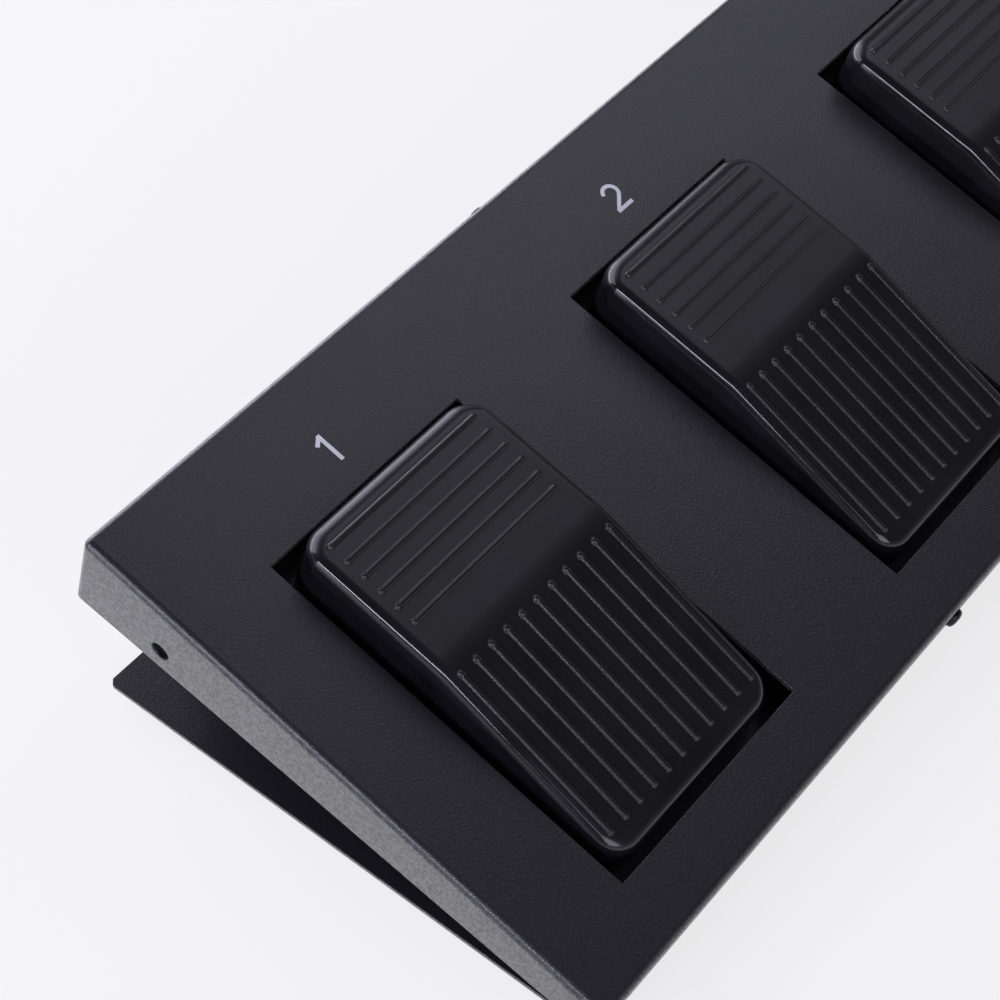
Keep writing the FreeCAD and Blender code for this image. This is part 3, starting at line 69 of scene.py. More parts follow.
mm = 0.001
sharpAngle = math.radians(35)
flatWeight = 80
stations = 4
stationPitch = 116.7
joints = {joint["name"]: joint for joint in frame["joints"]}
slotOf = {part["node"]: part["material_slot"] for part in frame["record"]["subparts"]}

# The sloping top has its own frame: X across, Y up the slope from the back edge, Z square to it.
# The hinges lie this far in from the back edge and below the top.
hingeOnSlope = {"back": 50.0, "drop": 7.0}
slopeUp = np.array(joints["plunger_1_slide"]["axis"], float)
slopeUp = slopeUp / np.linalg.norm(slopeUp)
slopeBack = np.array([0.0, slopeUp[2], -slopeUp[1]])
slopeStart = np.array(joints["pedal_1_hinge"]["pos_m"], float)
slopeStart += (slopeBack * hingeOnSlope["back"] + slopeUp * hingeOnSlope["drop"]) * mm
slopeStart[0] = 0.0


def stationX(number):
    # Middle of pedal 1 to 4, in mm from the middle of the housing
    return (number - (stations + 1) / 2) * stationPitch


def onSlope(points, x=0.0):
    # Slope millimetres to frame metres: start + X*x + Y*slopeBack + Z*slopeUp
    points = np.asarray(points, float) * mm
    across = np.zeros_like(points)
    across[..., 0] = points[..., 0] + x * mm
    return slopeStart + across + points[..., 1:2] * slopeBack + points[..., 2:3] * slopeUp


# Mesh building
meshWeld = 0.002 * mm


def gridFaces(rows, columns, start=0, closed=False, keep=None, flip=False):
    # Quads between neighbouring rows and columns of points numbered row by row.
    # A closed grid also joins its last column to its first.
    across = columns if closed else columns - 1
    row, column = np.meshgrid(np.arange(rows - 1), np.arange(across), indexing="ij")
    after = (column + 1) % columns
    faces = np.stack([row * columns + column, row * columns + after,
                      (row + 1) * columns + after, (row + 1) * columns + column], axis=-1)
    if keep is not None:
        faces = faces[keep]
    faces = faces.reshape(-1, 4) + start
    return faces[:, ::-1] if flip else faces


def withHeight(plan, height):
    # Places in plan (..., 2) with a height each, either repeated where the other has more rows
    shape = np.broadcast_shapes(plan.shape[:-1], np.shape(height))
    return np.concatenate([np.broadcast_to(plan, shape + (2,)),
                           np.broadcast_to(height, shape)[..., None]], -1)


def surfaceMesh(name, surfaces, outward=True, attributes=None):
    # One mesh from several grids of points (rows, columns, 3) in metres, welded where they meet
    points, faces, start = [], [], 0
    for surface in surfaces:
        options = dict(surface)
        grid = options.pop("points")
        rows, columns = grid.shape[:2]
        points.append(grid.reshape(-1, 3))
        faces.append(gridFaces(rows, columns, start, **options))
        start += rows * columns
    mesh = bpy.data.meshes.new(name)
    mesh.from_pydata(np.concatenate(points).tolist(), [], np.concatenate(faces).tolist())
    for key, values in (attributes or {}).items():
        layer = mesh.attributes.new(key, "FLOAT", "POINT")
        layer.data.foreach_set("value", np.concatenate(values).astype(np.float32))
    work = bmesh.new()
    work.from_mesh(mesh)
    bmesh.ops.remove_doubles(work, verts=work.verts, dist=meshWeld)
    bmesh.ops.dissolve_degenerate(work, edges=work.edges, dist=meshWeld / 4)
    if outward:
        bmesh.ops.recalc_face_normals(work, faces=work.faces)
    work.to_mesh(mesh)
    work.free()
    mesh.validate()
    mesh.polygons.foreach_set("use_smooth", np.ones(len(mesh.polygons), bool))
    return mesh


def addObject(name, data):
    added = bpy.data.objects.new(name, data)
    bpy.context.scene.collection.objects.link(added)
    return added


def addPiece(name, mesh, body, slot, replaces=(), material=None):
    # A piece wears its slot's material unless it is given another
    piece = addObject(name, mesh)
    piece.data.materials.append(material or materials[slot])
    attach(piece, body)
    if replaces:
        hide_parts(*replaces)
    return piece


def addModifier(piece, kind, **settings):
    modifier = piece.modifiers.new(kind.title(), kind)
    for key, value in settings.items():
        setattr(modifier, key, value)


def applyModifiers(piece):
    # The evaluated mesh takes the place of the base mesh and its modifiers
    bpy.context.view_layer.update()
    evaluated = piece.evaluated_get(bpy.context.evaluated_depsgraph_get())
    mesh = bpy.data.meshes.new_from_object(evaluated)
    piece.modifiers.clear()
    old, piece.data = piece.data, mesh
    bpy.data.meshes.remove(old)


def weightNormals(piece):
    # Large faces decide the shading, so flats stay flat beside small roundings
    addModifier(piece, "WEIGHTED_NORMAL", keep_sharp=True, weight=flatWeight)


def softenEdges(piece, width, segments=2, weld=0.0, clamp=True):
    # Small rounded edges, their width in millimetres
    if weld:
        addModifier(piece, "WELD", merge_threshold=weld)
    addModifier(piece, "BEVEL", width=width * mm, segments=segments, limit_method="ANGLE",
                angle_limit=sharpAngle, use_clamp_overlap=clamp, miter_outer="MITER_ARC")
    weightNormals(piece)


def turnedGrid(radius, height, place, axis, reference):
    # Points round an axis: place + axis*height + radius*(reference*cos + side*sin). The radius
    # has a row for each height and a column for each angle.
    axis, reference = np.asarray(axis, float), np.asarray(reference, float)
    side = np.cross(axis, reference)
    angle = np.linspace(0, 2 * math.pi, radius.shape[1], endpoint=False)
    ring = np.cos(angle)[:, None] * reference + np.sin(angle)[:, None] * side
    return place + (radius[..., None] * ring[None] + height[:, None, None] * axis) * mm


def revolve(profile, segments, place, axis, reference):
    # A profile of (radius, height) points turned about an axis
    profile = np.asarray(profile, float)
    radius = np.repeat(profile[:, :1], segments, 1)
    return turnedGrid(radius, profile[:, 1], place, axis, reference)


def roundCorner(start, corner, end, radius, steps):
    # Points of an arc that rounds a corner of an outline, tangent to both its sides
    start, corner, end = (np.array(p, float) for p in (start, corner, end))
    one = (start - corner) / np.linalg.norm(start - corner)
    two = (end - corner) / np.linalg.norm(end - corner)
    half = math.acos(np.clip(one @ two, -1, 1)) / 2
    reach = radius / math.tan(half)
    centre = corner + (one + two) / np.linalg.norm(one + two) * radius / math.sin(half)
    first, last = corner + one * reach - centre, corner + two * reach - centre
    turn = math.atan2(first[0] * last[1] - first[1] * last[0], first @ last)
    angles = np.linspace(0, turn, steps + 1)[:, None]
    sideways = np.array([-first[1], first[0]])
    return centre + first * np.cos(angles) + sideways * np.sin(angles)


# Materials
def linear(hexColour):
    # sRGB hex to linear RGBA
    parts = [int(hexColour[i:i + 2], 16) / 255 for i in (1, 3, 5)]
    return (*[p / 12.92 if p <= 0.04045 else ((p + 0.055) / 1.055) ** 2.4 for p in parts], 1.0)


def addNode(tree, kind, settings=None, links=None):
    # Each setting goes to the input of that name or number, or else to the node itself
    node = tree.nodes.new(kind)
    for key, value in (settings or {}).items():
        if isinstance(key, int) or key in node.inputs:
            node.inputs[key].default_value = value
        else:
            setattr(node, key, value)
    for key, socket in (links or {}).items():
        tree.links.new(socket, node.inputs[key])
    return node


def newMaterial(name, settings):
    material = bpy.data.materials.new(name)
    material.use_nodes = True
    tree = material.node_tree
    tree.nodes.clear()
    shader = addNode(tree, "ShaderNodeBsdfPrincipled", settings)
    addNode(tree, "ShaderNodeOutputMaterial", links={"Surface": shader.outputs["BSDF"]})
    place = addNode(tree, "ShaderNodeTexCoord").outputs["Object"]
    return material, tree, shader, place


def noiseAt(tree, place, size, detail=2.0, roughness=0.5):
    # Noise whose lumps are about as wide as a size in millimetres
    settings = {"Scale": 1 / (size * mm), "Detail": detail, "Roughness": roughness}
    return addNode(tree, "ShaderNodeTexNoise", settings, {"Vector": place}).outputs["Fac"]


def ramp(tree, factor, low, high, fromLow=0.35, fromHigh=0.65):
    # Factor from fromLow to fromHigh becomes low to high
    settings = {"From Min": fromLow, "From Max": fromHigh, "To Min": low, "To Max": high}
    return addNode(tree, "ShaderNodeMapRange", settings, {"Value": factor}).outputs["Result"]


def blendColours(tree, factor, first, second):
    settings = {"data_type": "RGBA", 6: linear(first), 7: linear(second)}
    return addNode(tree, "ShaderNodeMix", settings, {0: factor}).outputs[2]


def bump(tree, height, depth, under=None):
    # Height from 0 to 1 stands for a depth in millimetres, added to the bump under it
    links = {"Height": height}
    if under is not None:
        links["Normal"] = under
    settings = {"Strength": 1.0, "Distance": depth * mm}
    return addNode(tree, "ShaderNodeBump", settings, links).outputs["Normal"]


def combine(tree, operation, first, second):
    settings = {"operation": operation}
    return addNode(tree, "ShaderNodeMath", settings, {0: first, 1: second}).outputs[0]


# Grain, fine and speck: size in mm, then detail and roughness of the noise. Depths are in mm.
# A normal's Z is under side[0] on a folded side and over side[1] on a top.
# The speck colour is a painted sheen, laid on the folded sides only
powderCoat = {"colour": "#121116", "lightColour": "#1d1c23", "grain": (0.7, 3.0, 0.6),
              "grainDepth": 0.09, "fine": (0.3, 1.0), "fineDepth": 0.04, "rough": (0.3, 0.44),
              "side": (0.35, 0.8), "speck": (0.8, 1.0), "speckEdge": (0.44, 0.56),
              "paintedSheenColour": "#30333b", "speckSkin": (0.62, 1.08), "skin": 1.0,
              "skinRough": 0.34, "specular": 0.3, "sheen": 0.3, "sheenRough": 0.35}
# The base plate wears a duller copy, with less skin and specular: painted shade under the cover
shadedCoat = {**powderCoat, "skin": 0.55, "specular": 0.15}


def makePowderCoat(name, look):
    # Powder coat: polyester powder sprayed on sheet steel and baked, which flows into a fine
    # orange peel under a resin skin. It looks black from above and pale at a low angle. The grain,
    # 0.3 mm in the real coat, is drawn about twice as coarse so that it shows. Only the folded
    # sides carry pale specks, a painted sheen laid into the base colour, and a skin that varies.
    material, tree, shader, place = newMaterial(name, {
        "IOR": 1.5, "Specular IOR Level": look["specular"], "Coat Roughness": look["skinRough"],
        "Sheen Weight": look["sheen"], "Sheen Roughness": look["sheenRough"]})
    grain = noiseAt(tree, place, *look["grain"])
    fine = noiseAt(tree, place, *look["fine"])
    tree.links.new(ramp(tree, fine, *look["rough"]), shader.inputs["Roughness"])
    facing = addNode(tree, "ShaderNodeTexCoord").outputs["Normal"]
    facing = addNode(tree, "ShaderNodeSeparateXYZ", links={0: facing}).outputs["Z"]
    speck = ramp(tree, noiseAt(tree, place, *look["speck"]), 0.0, 1.0, *look["speckEdge"])
    side = ramp(tree, facing, 1.0, 0.0, *look["side"])
    speckSkin = ramp(tree, speck, *look["speckSkin"], 0.0, 1.0)
    skin = addNode(tree, "ShaderNodeMix", {2: look["skin"]}, {0: side, 3: speckSkin})
    tree.links.new(skin.outputs[0], shader.inputs["Coat Weight"])
    colour = blendColours(tree, ramp(tree, grain, 0.0, 1.0), look["colour"], look["lightColour"])
    # Painted sheen: the pale speck colour goes into the base colour on the folded sides only
    pale = addNode(tree, "ShaderNodeMix", {"data_type": "RGBA", 7: linear(look["paintedSheenColour"])},
                   {0: combine(tree, "MULTIPLY", speck, side), 6: colour}).outputs[2]
    tree.links.new(pale, shader.inputs["Base Color"])
    normal = bump(tree, fine, look["fineDepth"], under=bump(tree, grain, look["grainDepth"]))
    tree.links.new(normal, shader.inputs["Normal"])
    tree.links.new(normal, shader.inputs["Coat Normal"])
    return material


mouldedAbs = {"colour": "#111014", "lightColour": "#17161b", "spark": (0.25, 2.0),
              "sparkDepth": 0.006, "flow": (14.0, 1.0), "satin": (0.27, 0.35), "gloss": (0.1, 0.15)}


def makeMouldedAbs():
    # ABS: injected into a polished mould whose top faces were finely spark eroded, so the top
    # is satin while the rolled edges and side walls come out glossy.
    look = mouldedAbs
    material, tree, shader, place = newMaterial("mouldedAbs", {"IOR": 1.53})
    spark = noiseAt(tree, place, *look["spark"])
    flow = noiseAt(tree, place, *look["flow"])
    satin = addNode(tree, "ShaderNodeAttribute", {"attribute_name": "satin"}).outputs["Fac"]
    colour = blendColours(tree, ramp(tree, flow, 0.0, 1.0), look["colour"], look["lightColour"])
    tree.links.new(colour, shader.inputs["Base Color"])
    links = {0: satin, 2: ramp(tree, flow, *look["gloss"]), 3: ramp(tree, spark, *look["satin"])}
    rough = addNode(tree, "ShaderNodeMix", links=links).outputs[0]
    tree.links.new(rough, shader.inputs["Roughness"])
    depth = combine(tree, "MULTIPLY", spark, satin)
    tree.links.new(bump(tree, depth, look["sparkDepth"]), shader.inputs["Normal"])
    return material


def makeSpeckled(name, colours, size, rough, depth, **settings):
    # Colour, roughness and a fine bump that wander together over lumps of one size in mm
    material, tree, shader, place = newMaterial(name, settings)
    lumps = noiseAt(tree, place, size)
    colour = blendColours(tree, ramp(tree, lumps, 0.0, 1.0), *colours)
    tree.links.new(colour, shader.inputs["Base Color"])
    tree.links.new(ramp(tree, lumps, *rough), shader.inputs["Roughness"])
    tree.links.new(bump(tree, lumps, depth), shader.inputs["Normal"])
    return material


# The plain ones give two colours, lump size in mm, a range of roughness and bump depth in mm
materials = {
    "powder_coated_steel": makePowderCoat("powderCoatedSteel", powderCoat),
    "moulded_abs": makeMouldedAbs(),
    # Nylon with glass fibre: moulded, dull and faintly mottled where fibres lie at the skin
    "glass_filled_nylon": makeSpeckled(
        "glassFilledNylon", ("#161617", "#202022"), 0.8, (0.42, 0.56), 0.01, IOR=1.53),
    # Nylon: moulded in a polished tool, glossy black with a slow ripple
    "gloss_nylon": makeSpeckled(
        "glossNylon", ("#0f0f11", "#131315"), 6.0, (0.14, 0.2), 0.004, IOR=1.53),
    # Acetal: moulded, with a waxy red skin
    "acetal": makeSpeckled("acetal", ("#a81e14", "#b8281c"), 2.0, (0.32, 0.42), 0.004, IOR=1.48),
    # Zinc plate: electroplated and passivated, bright with a faint crystalline mottle
    "zinc_plated_steel": makeSpeckled(
        "zincPlatedSteel", ("#a9acae", "#bdbfc0"), 0.5, (0.24, 0.38), 0.004, Metallic=1.0),
    # Black oxide: steel blued in hot salts and oiled, dark with some metal sheen left
    "black_oxide_steel": makeSpeckled(
        "blackOxideSteel", ("#2a2a2e", "#37373b"), 0.3, (0.28, 0.42), 0.004, Metallic=1.0),
    # Spring steel: cold-rolled strip, bright and fine
    "spring_steel": makeSpeckled(
        "springSteel", ("#9c9c9a", "#adadab"), 0.6, (0.2, 0.32), 0.003, Metallic=1.0),
    # Rubber: moulded, matt, with a fine bloom
    "rubber": makeSpeckled(
        "mouldedRubber", ("#151515", "#1f1f20"), 0.5, (0.7, 0.85), 0.02, IOR=1.52),
    # Battery jacket: foil wrapped round the cells, dull bronze
    "battery_case": makeSpeckled(
        "foilJacket", ("#6d675b", "#7a7367"), 3.0, (0.3, 0.4), 0.004, IOR=1.5),
    # Clip nylon: moulded thin, satin black
    "lamp_clip": makeSpeckled(
        "clipNylon", ("#101012", "#17171a"), 1.0, (0.2, 0.3), 0.004, IOR=1.53),
    # Glass epoxy under solder mask: laminated, and the cloth weave just shows through the green
    "board_laminate": makeSpeckled(
        "solderMask", ("#0f4a24", "#14592c"), 0.4, (0.2, 0.3), 0.01, IOR=1.55),
    # Tinned steel: a folded can over the radio, pale and softly bright
    "radio_can": makeSpeckled(
        "tinnedSteel", ("#b4b4b0", "#c4c4c0"), 0.7, (0.22, 0.34), 0.003, Metallic=1.0),
    # Wire sleeve: PVC extruded over the strands, satin black
    "antenna_wire": makeSpeckled(
        "wireSleeve", ("#161616", "#1e1e1e"), 1.0, (0.35, 0.45), 0.003, IOR=1.5),
    # Moulding epoxy: pressed round the chip with silica in it, dull charcoal
    "chip_epoxy": makeSpeckled(
        "mouldedEpoxy", ("#1b1b1c", "#232325"), 0.3, (0.5, 0.65), 0.006, IOR=1.55),
    # Shrink sleeve: printed film shrunk over the aluminium can, dark blue-grey
    "capacitor_can": makeSpeckled(
        "shrinkSleeve", ("#20242c", "#2a2f3a"), 1.5, (0.25, 0.35), 0.003, IOR=1.5),
}


lampLens = {"colour": "#3f7d46", "clear": 0.5, "cloud": 0.4, "cloudDepth": 1.5, "ripple": 1.2,
            "rough": (0.12, 0.2)}


def makeLampLens():
    # Epoxy: cast round the lamp's chip and tinted green, cloudy inside with a glossy skin
    material, tree, shader, place = newMaterial("tintedEpoxy", {
        "Base Color": linear(lampLens["colour"]), "IOR": 1.54,
        "Transmission Weight": lampLens["clear"], "Subsurface Weight": lampLens["cloud"],
        "Subsurface Scale": lampLens["cloudDepth"] * mm})
    ripple = noiseAt(tree, place, lampLens["ripple"])
    tree.links.new(ramp(tree, ripple, *lampLens["rough"]), shader.inputs["Roughness"])
    return material


materials["lamp_lens"] = makeLampLens()
# Two-part screen ink: pressed through a mesh, a thin white film with a slightly open edge
screenInk = makeSpeckled("screenInk", ("#eaecf2", "#f4f5f9"), 0.35, (0.35, 0.5), 0.02, IOR=1.5)
print("materials made:", len(bpy.data.materials))

# Folded cover
cover = {"width": 476.0, "depth": 166.0, "gauge": 1.5, "bend": 2.2, "backFlange": 28.9,
         "frontFlange": 13.5, "seat": 10.948, "kink": 154.73, "windowWidth": 70.0,
         "windowDepth": 112.7, "windowBack": 35.6, "edge": 0.22, "bendSteps": 6,
         "cornerSteps": 6, "flangeSteps": 3, "meshStep": 12.0}
coverHoles = {"sideBack": 28.3, "sideDrop": 18.6, "side": 5.5, "screw": 3.4, "screwX": 87.5,
              "frontDrop": 6.8, "backDrop": 7.6, "segments": 48, "toolLength": 8.0}
# Any direction that no hole runs along
aslant = (0.3, 0.5, 0.8)


def flangeDepth(y):
    # Depth of the flanges below the top at a place down the slope: a straight taper as far as
    # the kink, then a straight run to the seat at the front
    depth, kink, seat = cover["depth"], cover["kink"], cover["seat"]
    taper = (cover["backFlange"] - cover["frontFlange"]) / depth
    slope = cover["backFlange"] + np.minimum(y, 0) * taper
    rise = (cover["backFlange"] - kink * taper - seat) / (depth - kink)
    return np.where(y < -kink, np.maximum(seat + (y + depth) * rise, seat), slope)


def spread(stops, step):
    # The stops, with even points between them at most a step apart
    parts = [np.linspace(a, b, max(2, math.ceil((b - a) / step) + 1))[:-1]
             for a, b in zip(stops, stops[1:])]
    return np.concatenate(parts + [[stops[-1]]])


def boundaryPath(xs, ys):
    # Edge points of a rectangular grid, front, right, back, left, each with its outward normal.
    # At a corner the point repeats while the normal turns through a quarter.
    sides = [(np.stack([xs, np.full_like(xs, ys[0])], 1), -90.0),
             (np.stack([np.full_like(ys, xs[-1]), ys], 1), 0.0),
             (np.stack([xs[::-1], np.full_like(xs, ys[-1])], 1), 90.0),
             (np.stack([np.full_like(ys, xs[0]), ys[::-1]], 1), 180.0)]
    points, angles = [], []
    for side, angle in sides:
        points.append(side)
        angles.append(np.full(len(side), angle))
        turn = np.linspace(angle, angle + 90, cover["cornerSteps"] + 1)[1:-1]
        points.append(np.repeat(side[-1:], len(turn), 0))
        angles.append(turn)
    angles = np.radians(np.concatenate(angles))
    return np.concatenate(points), np.stack([np.cos(angles), np.sin(angles)], 1)


def cutCylinder(place, direction, diameter):
    # Tool for a round hole through a sheet
    half = coverHoles["toolLength"] / 2
    profile = [(0, -half), (diameter / 2, -half), (diameter / 2, half), (0, half)]
    reference = np.cross(direction, aslant)
    reference = reference / np.linalg.norm(reference)
    points = revolve(profile, coverHoles["segments"], place, direction, reference)
    return addObject("holeTool", surfaceMesh("holeTool", [{"points": points, "closed": True}]))


def drill(piece, tools):
    # Cuts the tools out of a piece, then deletes them
    for tool in tools:
        addModifier(piece, "BOOLEAN", operation="DIFFERENCE", object=tool, solver="EXACT")
    applyModifiers(piece)
    for tool in tools:
        mesh = tool.data
        bpy.data.objects.remove(tool)
        bpy.data.meshes.remove(mesh)


def makeCover():
    # Top: a flat grid less its window cells. Round it a profile runs along the grid's edge:
    # point + normal*bend*sin(a), down by bend*(1 - cos(a)), then straight down to flangeDepth.
    half, inset = cover["width"] / 2, cover["bend"]
    middles = np.array([stationX(n) for n in range(1, stations + 1)])
    halfWindow = cover["windowWidth"] / 2
    windowEdges = np.sort(np.concatenate([middles - halfWindow, middles + halfWindow]))
    xs = spread([-half + inset, *windowEdges, half - inset], cover["meshStep"])
    front = -cover["windowBack"] - cover["windowDepth"]
    ys = spread([-cover["depth"] + inset, front, -cover["windowBack"], -inset], cover["meshStep"])
    gridX, gridY = np.meshgrid(xs, ys)
    top = np.stack([gridX, gridY, np.zeros_like(gridX)], -1)
    cellX, cellY = np.meshgrid((xs[1:] + xs[:-1]) / 2, (ys[1:] + ys[:-1]) / 2)
    overWindow = np.min(np.abs(cellX[..., None] - middles), -1) < halfWindow
    keep = ~(overWindow & (cellY > front) & (cellY < -cover["windowBack"]))
    path, normals = boundaryPath(xs, ys)
    angle = np.linspace(0, math.pi / 2, cover["bendSteps"] + 1)
    outward = inset * np.sin(angle)
    down = -inset * (1 - np.cos(angle))
    plan = path[None] + outward[:, None, None] * normals[None]
    share = np.linspace(0, 1, cover["flangeSteps"] + 1)[1:, None]
    lower = -flangeDepth(plan[-1, :, 1])
    drop = -inset * (1 - share) + lower * share
    ring = np.concatenate([withHeight(plan, down[:, None]), withHeight(plan[-1], drop)])
    surfaces = [{"points": onSlope(top), "keep": keep},
                {"points": onSlope(ring), "closed": True, "flip": True}]
    mesh = surfaceMesh("coverSheet", surfaces, outward=False)
    piece = addPiece("coverSheet", mesh, "housing", "powder_coated_steel", ["top_cover"])
    addModifier(piece, "SOLIDIFY", thickness=cover["gauge"] * mm, offset=-1, use_even_offset=True,
                use_quality_normals=True)
    applyModifiers(piece)
    tools = []
    for sign in (-1, 1):
        side = onSlope((sign * half, -coverHoles["sideBack"], -coverHoles["sideDrop"]))
        tools.append(cutCylinder(side, (1.0, 0.0, 0.0), coverHoles["side"]))
        for y, drop in ((-cover["depth"], coverHoles["frontDrop"]), (0, coverHoles["backDrop"])):
            place = onSlope((sign * coverHoles["screwX"], y, -drop))
            tools.append(cutCylinder(place, slopeBack, coverHoles["screw"]))
    drill(piece, tools)
    softenEdges(piece, cover["edge"], clamp=False)
    applyModifiers(piece)


makeCover()
print("cover made")

# Pedals
pedal = {"half": 32.2, "rear": -38.4, "front": -145.5, "corner": 8.0, "top": 12.7, "bend": -85.2,
         "slope": 11.0, "rollRear": 5.0, "rollSide": 3.0, "skirtRear": -11.0, "skirtFront": -6.3,
         "wall": 2.2, "rollSteps": 12, "satinSide": 3.0, "satinRear": 12.0, "skirtSteps": 5,
         "cornerSteps": 10, "flatStep": 4.0, "lineRoom": 0.03, "lineApart": 0.04}
# The balls are a width and a height
ribs = {"width": 1.6, "height": 0.7, "crossCount": 6, "crossPitch": 5.41, "crossStart": 9.3,
        "crossLength": 54.4, "crossBall": (1.84, 0.84), "longCount": 11, "longPitch": 5.67,
        "longStart": 2.6, "longLength": 52.4, "longBall": (2.1, 0.95), "sink": 0.25}
# Grid lines from one side of a rib's middle to the other
ribLines = np.array([-1.3, -1.1, -0.95, -0.8, -0.6, -0.3, 0.0, 0.3, 0.6, 0.8, 0.95, 1.1, 1.3])


def fieldHeight(y):
    # Level rear field, then the front field falling at the slope's tangent
    return pedal["top"] + np.minimum(y - pedal["bend"], 0) * math.tan(math.radians(pedal["slope"]))


def ridge(distance, width, height):
    # Round-topped ridge: height * sqrt(1 - (distance / half width)^2), and 0 past the half width
    share = distance / (width / 2)
    return height * np.sqrt(np.clip(1 - share ** 2, 0, 1))


def crossRibs():
    # Middles of the cross ribs down the slope
    start = -cover["windowBack"] - ribs["crossStart"]
    return start - ribs["crossPitch"] * np.arange(ribs["crossCount"])


def longRibs():
    # Middles of the long ribs across the pedal
    return (np.arange(ribs["longCount"]) - (ribs["longCount"] - 1) / 2) * ribs["longPitch"]


def longRibEnds():
    # Rear and front ends of the long ribs down the slope
    slope = math.cos(math.radians(pedal["slope"]))
    rear = pedal["bend"] - ribs["longStart"] * slope
    return rear, rear - ribs["longLength"] * slope


def ribHeight(x, y):
    # Highest of all ridges over a point: distance to each rib's centre line, capped round at
    # its ends, and a ball on the rear end of each long rib and the left end of each cross rib
    total = np.zeros_like(x)
    halfWidth = ribs["width"] / 2
    reach = ribs["crossLength"] / 2 - halfWidth
    past = np.clip(np.abs(x) - reach, 0, None)
    for middle in crossRibs():
        away = np.hypot(past, y - middle)
        total = np.maximum(total, ridge(away, ribs["width"], ribs["height"]))
        ball = np.hypot(x + reach, y - middle)
        total = np.maximum(total, ridge(ball, *ribs["crossBall"]))
    rear, front = longRibEnds()
    beyond = np.clip(y - (rear - halfWidth), 0, None) + np.clip(front + halfWidth - y, 0, None)
    for middle in longRibs():
        away = np.hypot(beyond, x - middle)
        total = np.maximum(total, ridge(away, ribs["width"], ribs["height"]))
        ball = np.hypot(y - (rear - halfWidth), x - middle)
        total = np.maximum(total, ridge(ball, *ribs["longBall"]))
    return total


def gradedLines(low, high, centres, extra):
    # Lines from low to high, close together over each rib and at most a step apart between
    # them. A line too near an end or another line is left out.
    near = np.concatenate([centre + ribLines for centre in centres] + [np.asarray(extra, float)])
    near = np.sort(near[(near > low + pedal["lineRoom"]) & (near < high - pedal["lineRoom"])])
    near = near[np.concatenate([[True], np.diff(near) > pedal["lineApart"]])]
    return spread([low, *near, high], pedal["flatStep"])


def rollAt(rearward):
    # Radius of the rolled edge: side + (rear - side)*s^2*(3 - 2s), where s is how far the
    # edge faces the rear
    share = np.clip(rearward, 0, 1)
    share = share ** 2 * (3 - 2 * share)
    return pedal["rollSide"] + (pedal["rollRear"] - pedal["rollSide"]) * share


def fieldEdge():
    # Places along the pedal and half widths of its flat top round the front corner, then round
    # the rear one: corner centre + (corner radius - roll)*(cos, sin)
    turn = np.linspace(0, math.pi / 2, pedal["cornerSteps"] + 1)
    middle = pedal["half"] - pedal["corner"]
    front = pedal["corner"] - pedal["rollSide"]
    rear = pedal["corner"] - rollAt(np.sin(turn))
    along = np.concatenate([pedal["front"] + pedal["corner"] - front * np.sin(turn[::-1]),
                            pedal["rear"] - pedal["corner"] + rear * np.sin(turn)])
    return along, middle + np.concatenate([front * np.cos(turn[::-1]), rear * np.cos(turn)])


def pedalFields(xs, ys):
    # Grid over the flat top. Outside the corner centres the columns close in with the edge, and
    # over the last bit before it the ribs sink away: height * distance to the edge / sink.
    gridX, gridY = np.meshgrid(xs, ys)
    middle = pedal["half"] - pedal["corner"]
    width = np.interp(gridY, *fieldEdge())
    share = (np.abs(gridX) - middle) / (xs[-1] - middle)
    squeezed = np.where(share > 0, np.sign(gridX) * (middle + share * (width - middle)), gridX)
    sink = np.clip((width - np.abs(squeezed)) / ribs["sink"], 0, 1)
    return np.stack([squeezed, gridY, fieldHeight(gridY) + ribHeight(squeezed, gridY) * sink], -1)


def gridEdge(grid):
    # Points round the edge of a grid: front, right, back and left, each corner once
    return np.concatenate([grid[0, :-1], grid[:-1, -1], grid[-1, :0:-1], grid[:0:-1, 0]])


def edgeNormals(loop):
    # Outward normals of the pedal's edge: away from the nearest point of the corner centres' box
    corner = pedal["corner"]
    middle = np.stack([np.clip(loop[:, 0], corner - pedal["half"], pedal["half"] - corner),
                       np.clip(loop[:, 1], pedal["front"] + corner, pedal["rear"] - corner)], 1)
    away = loop[:, :2] - middle
    return away / np.linalg.norm(away, axis=1)[:, None]


def pedalSkin(loop, offset):
    # Rings of the roll and the skirt under it, an offset inside the outer face:
    # edge + normal*radius*sin(a), down by radius*(1 - cos(a)), then straight down to the rim
    normal = edgeNormals(loop)
    radius = (rollAt(normal[:, 1]) - offset)[None]
    angle = np.linspace(0, math.pi / 2, pedal["rollSteps"] + 1)[:, None]
    plan = loop[None, :, :2] + (radius * np.sin(angle))[..., None] * normal[None]
    crown = fieldHeight(plan[..., 1]) - offset - radius * (1 - np.cos(angle))
    share = (pedal["rear"] - plan[-1, :, 1]) / (pedal["rear"] - pedal["front"])
    low = pedal["skirtRear"] + share * (pedal["skirtFront"] - pedal["skirtRear"])
    down = np.linspace(0, 1, pedal["skirtSteps"] + 1)[1:, None]
    skirt = withHeight(plan[-1], crown[-1] * (1 - down) + low * down)
    return np.concatenate([withHeight(plan, crown), skirt])


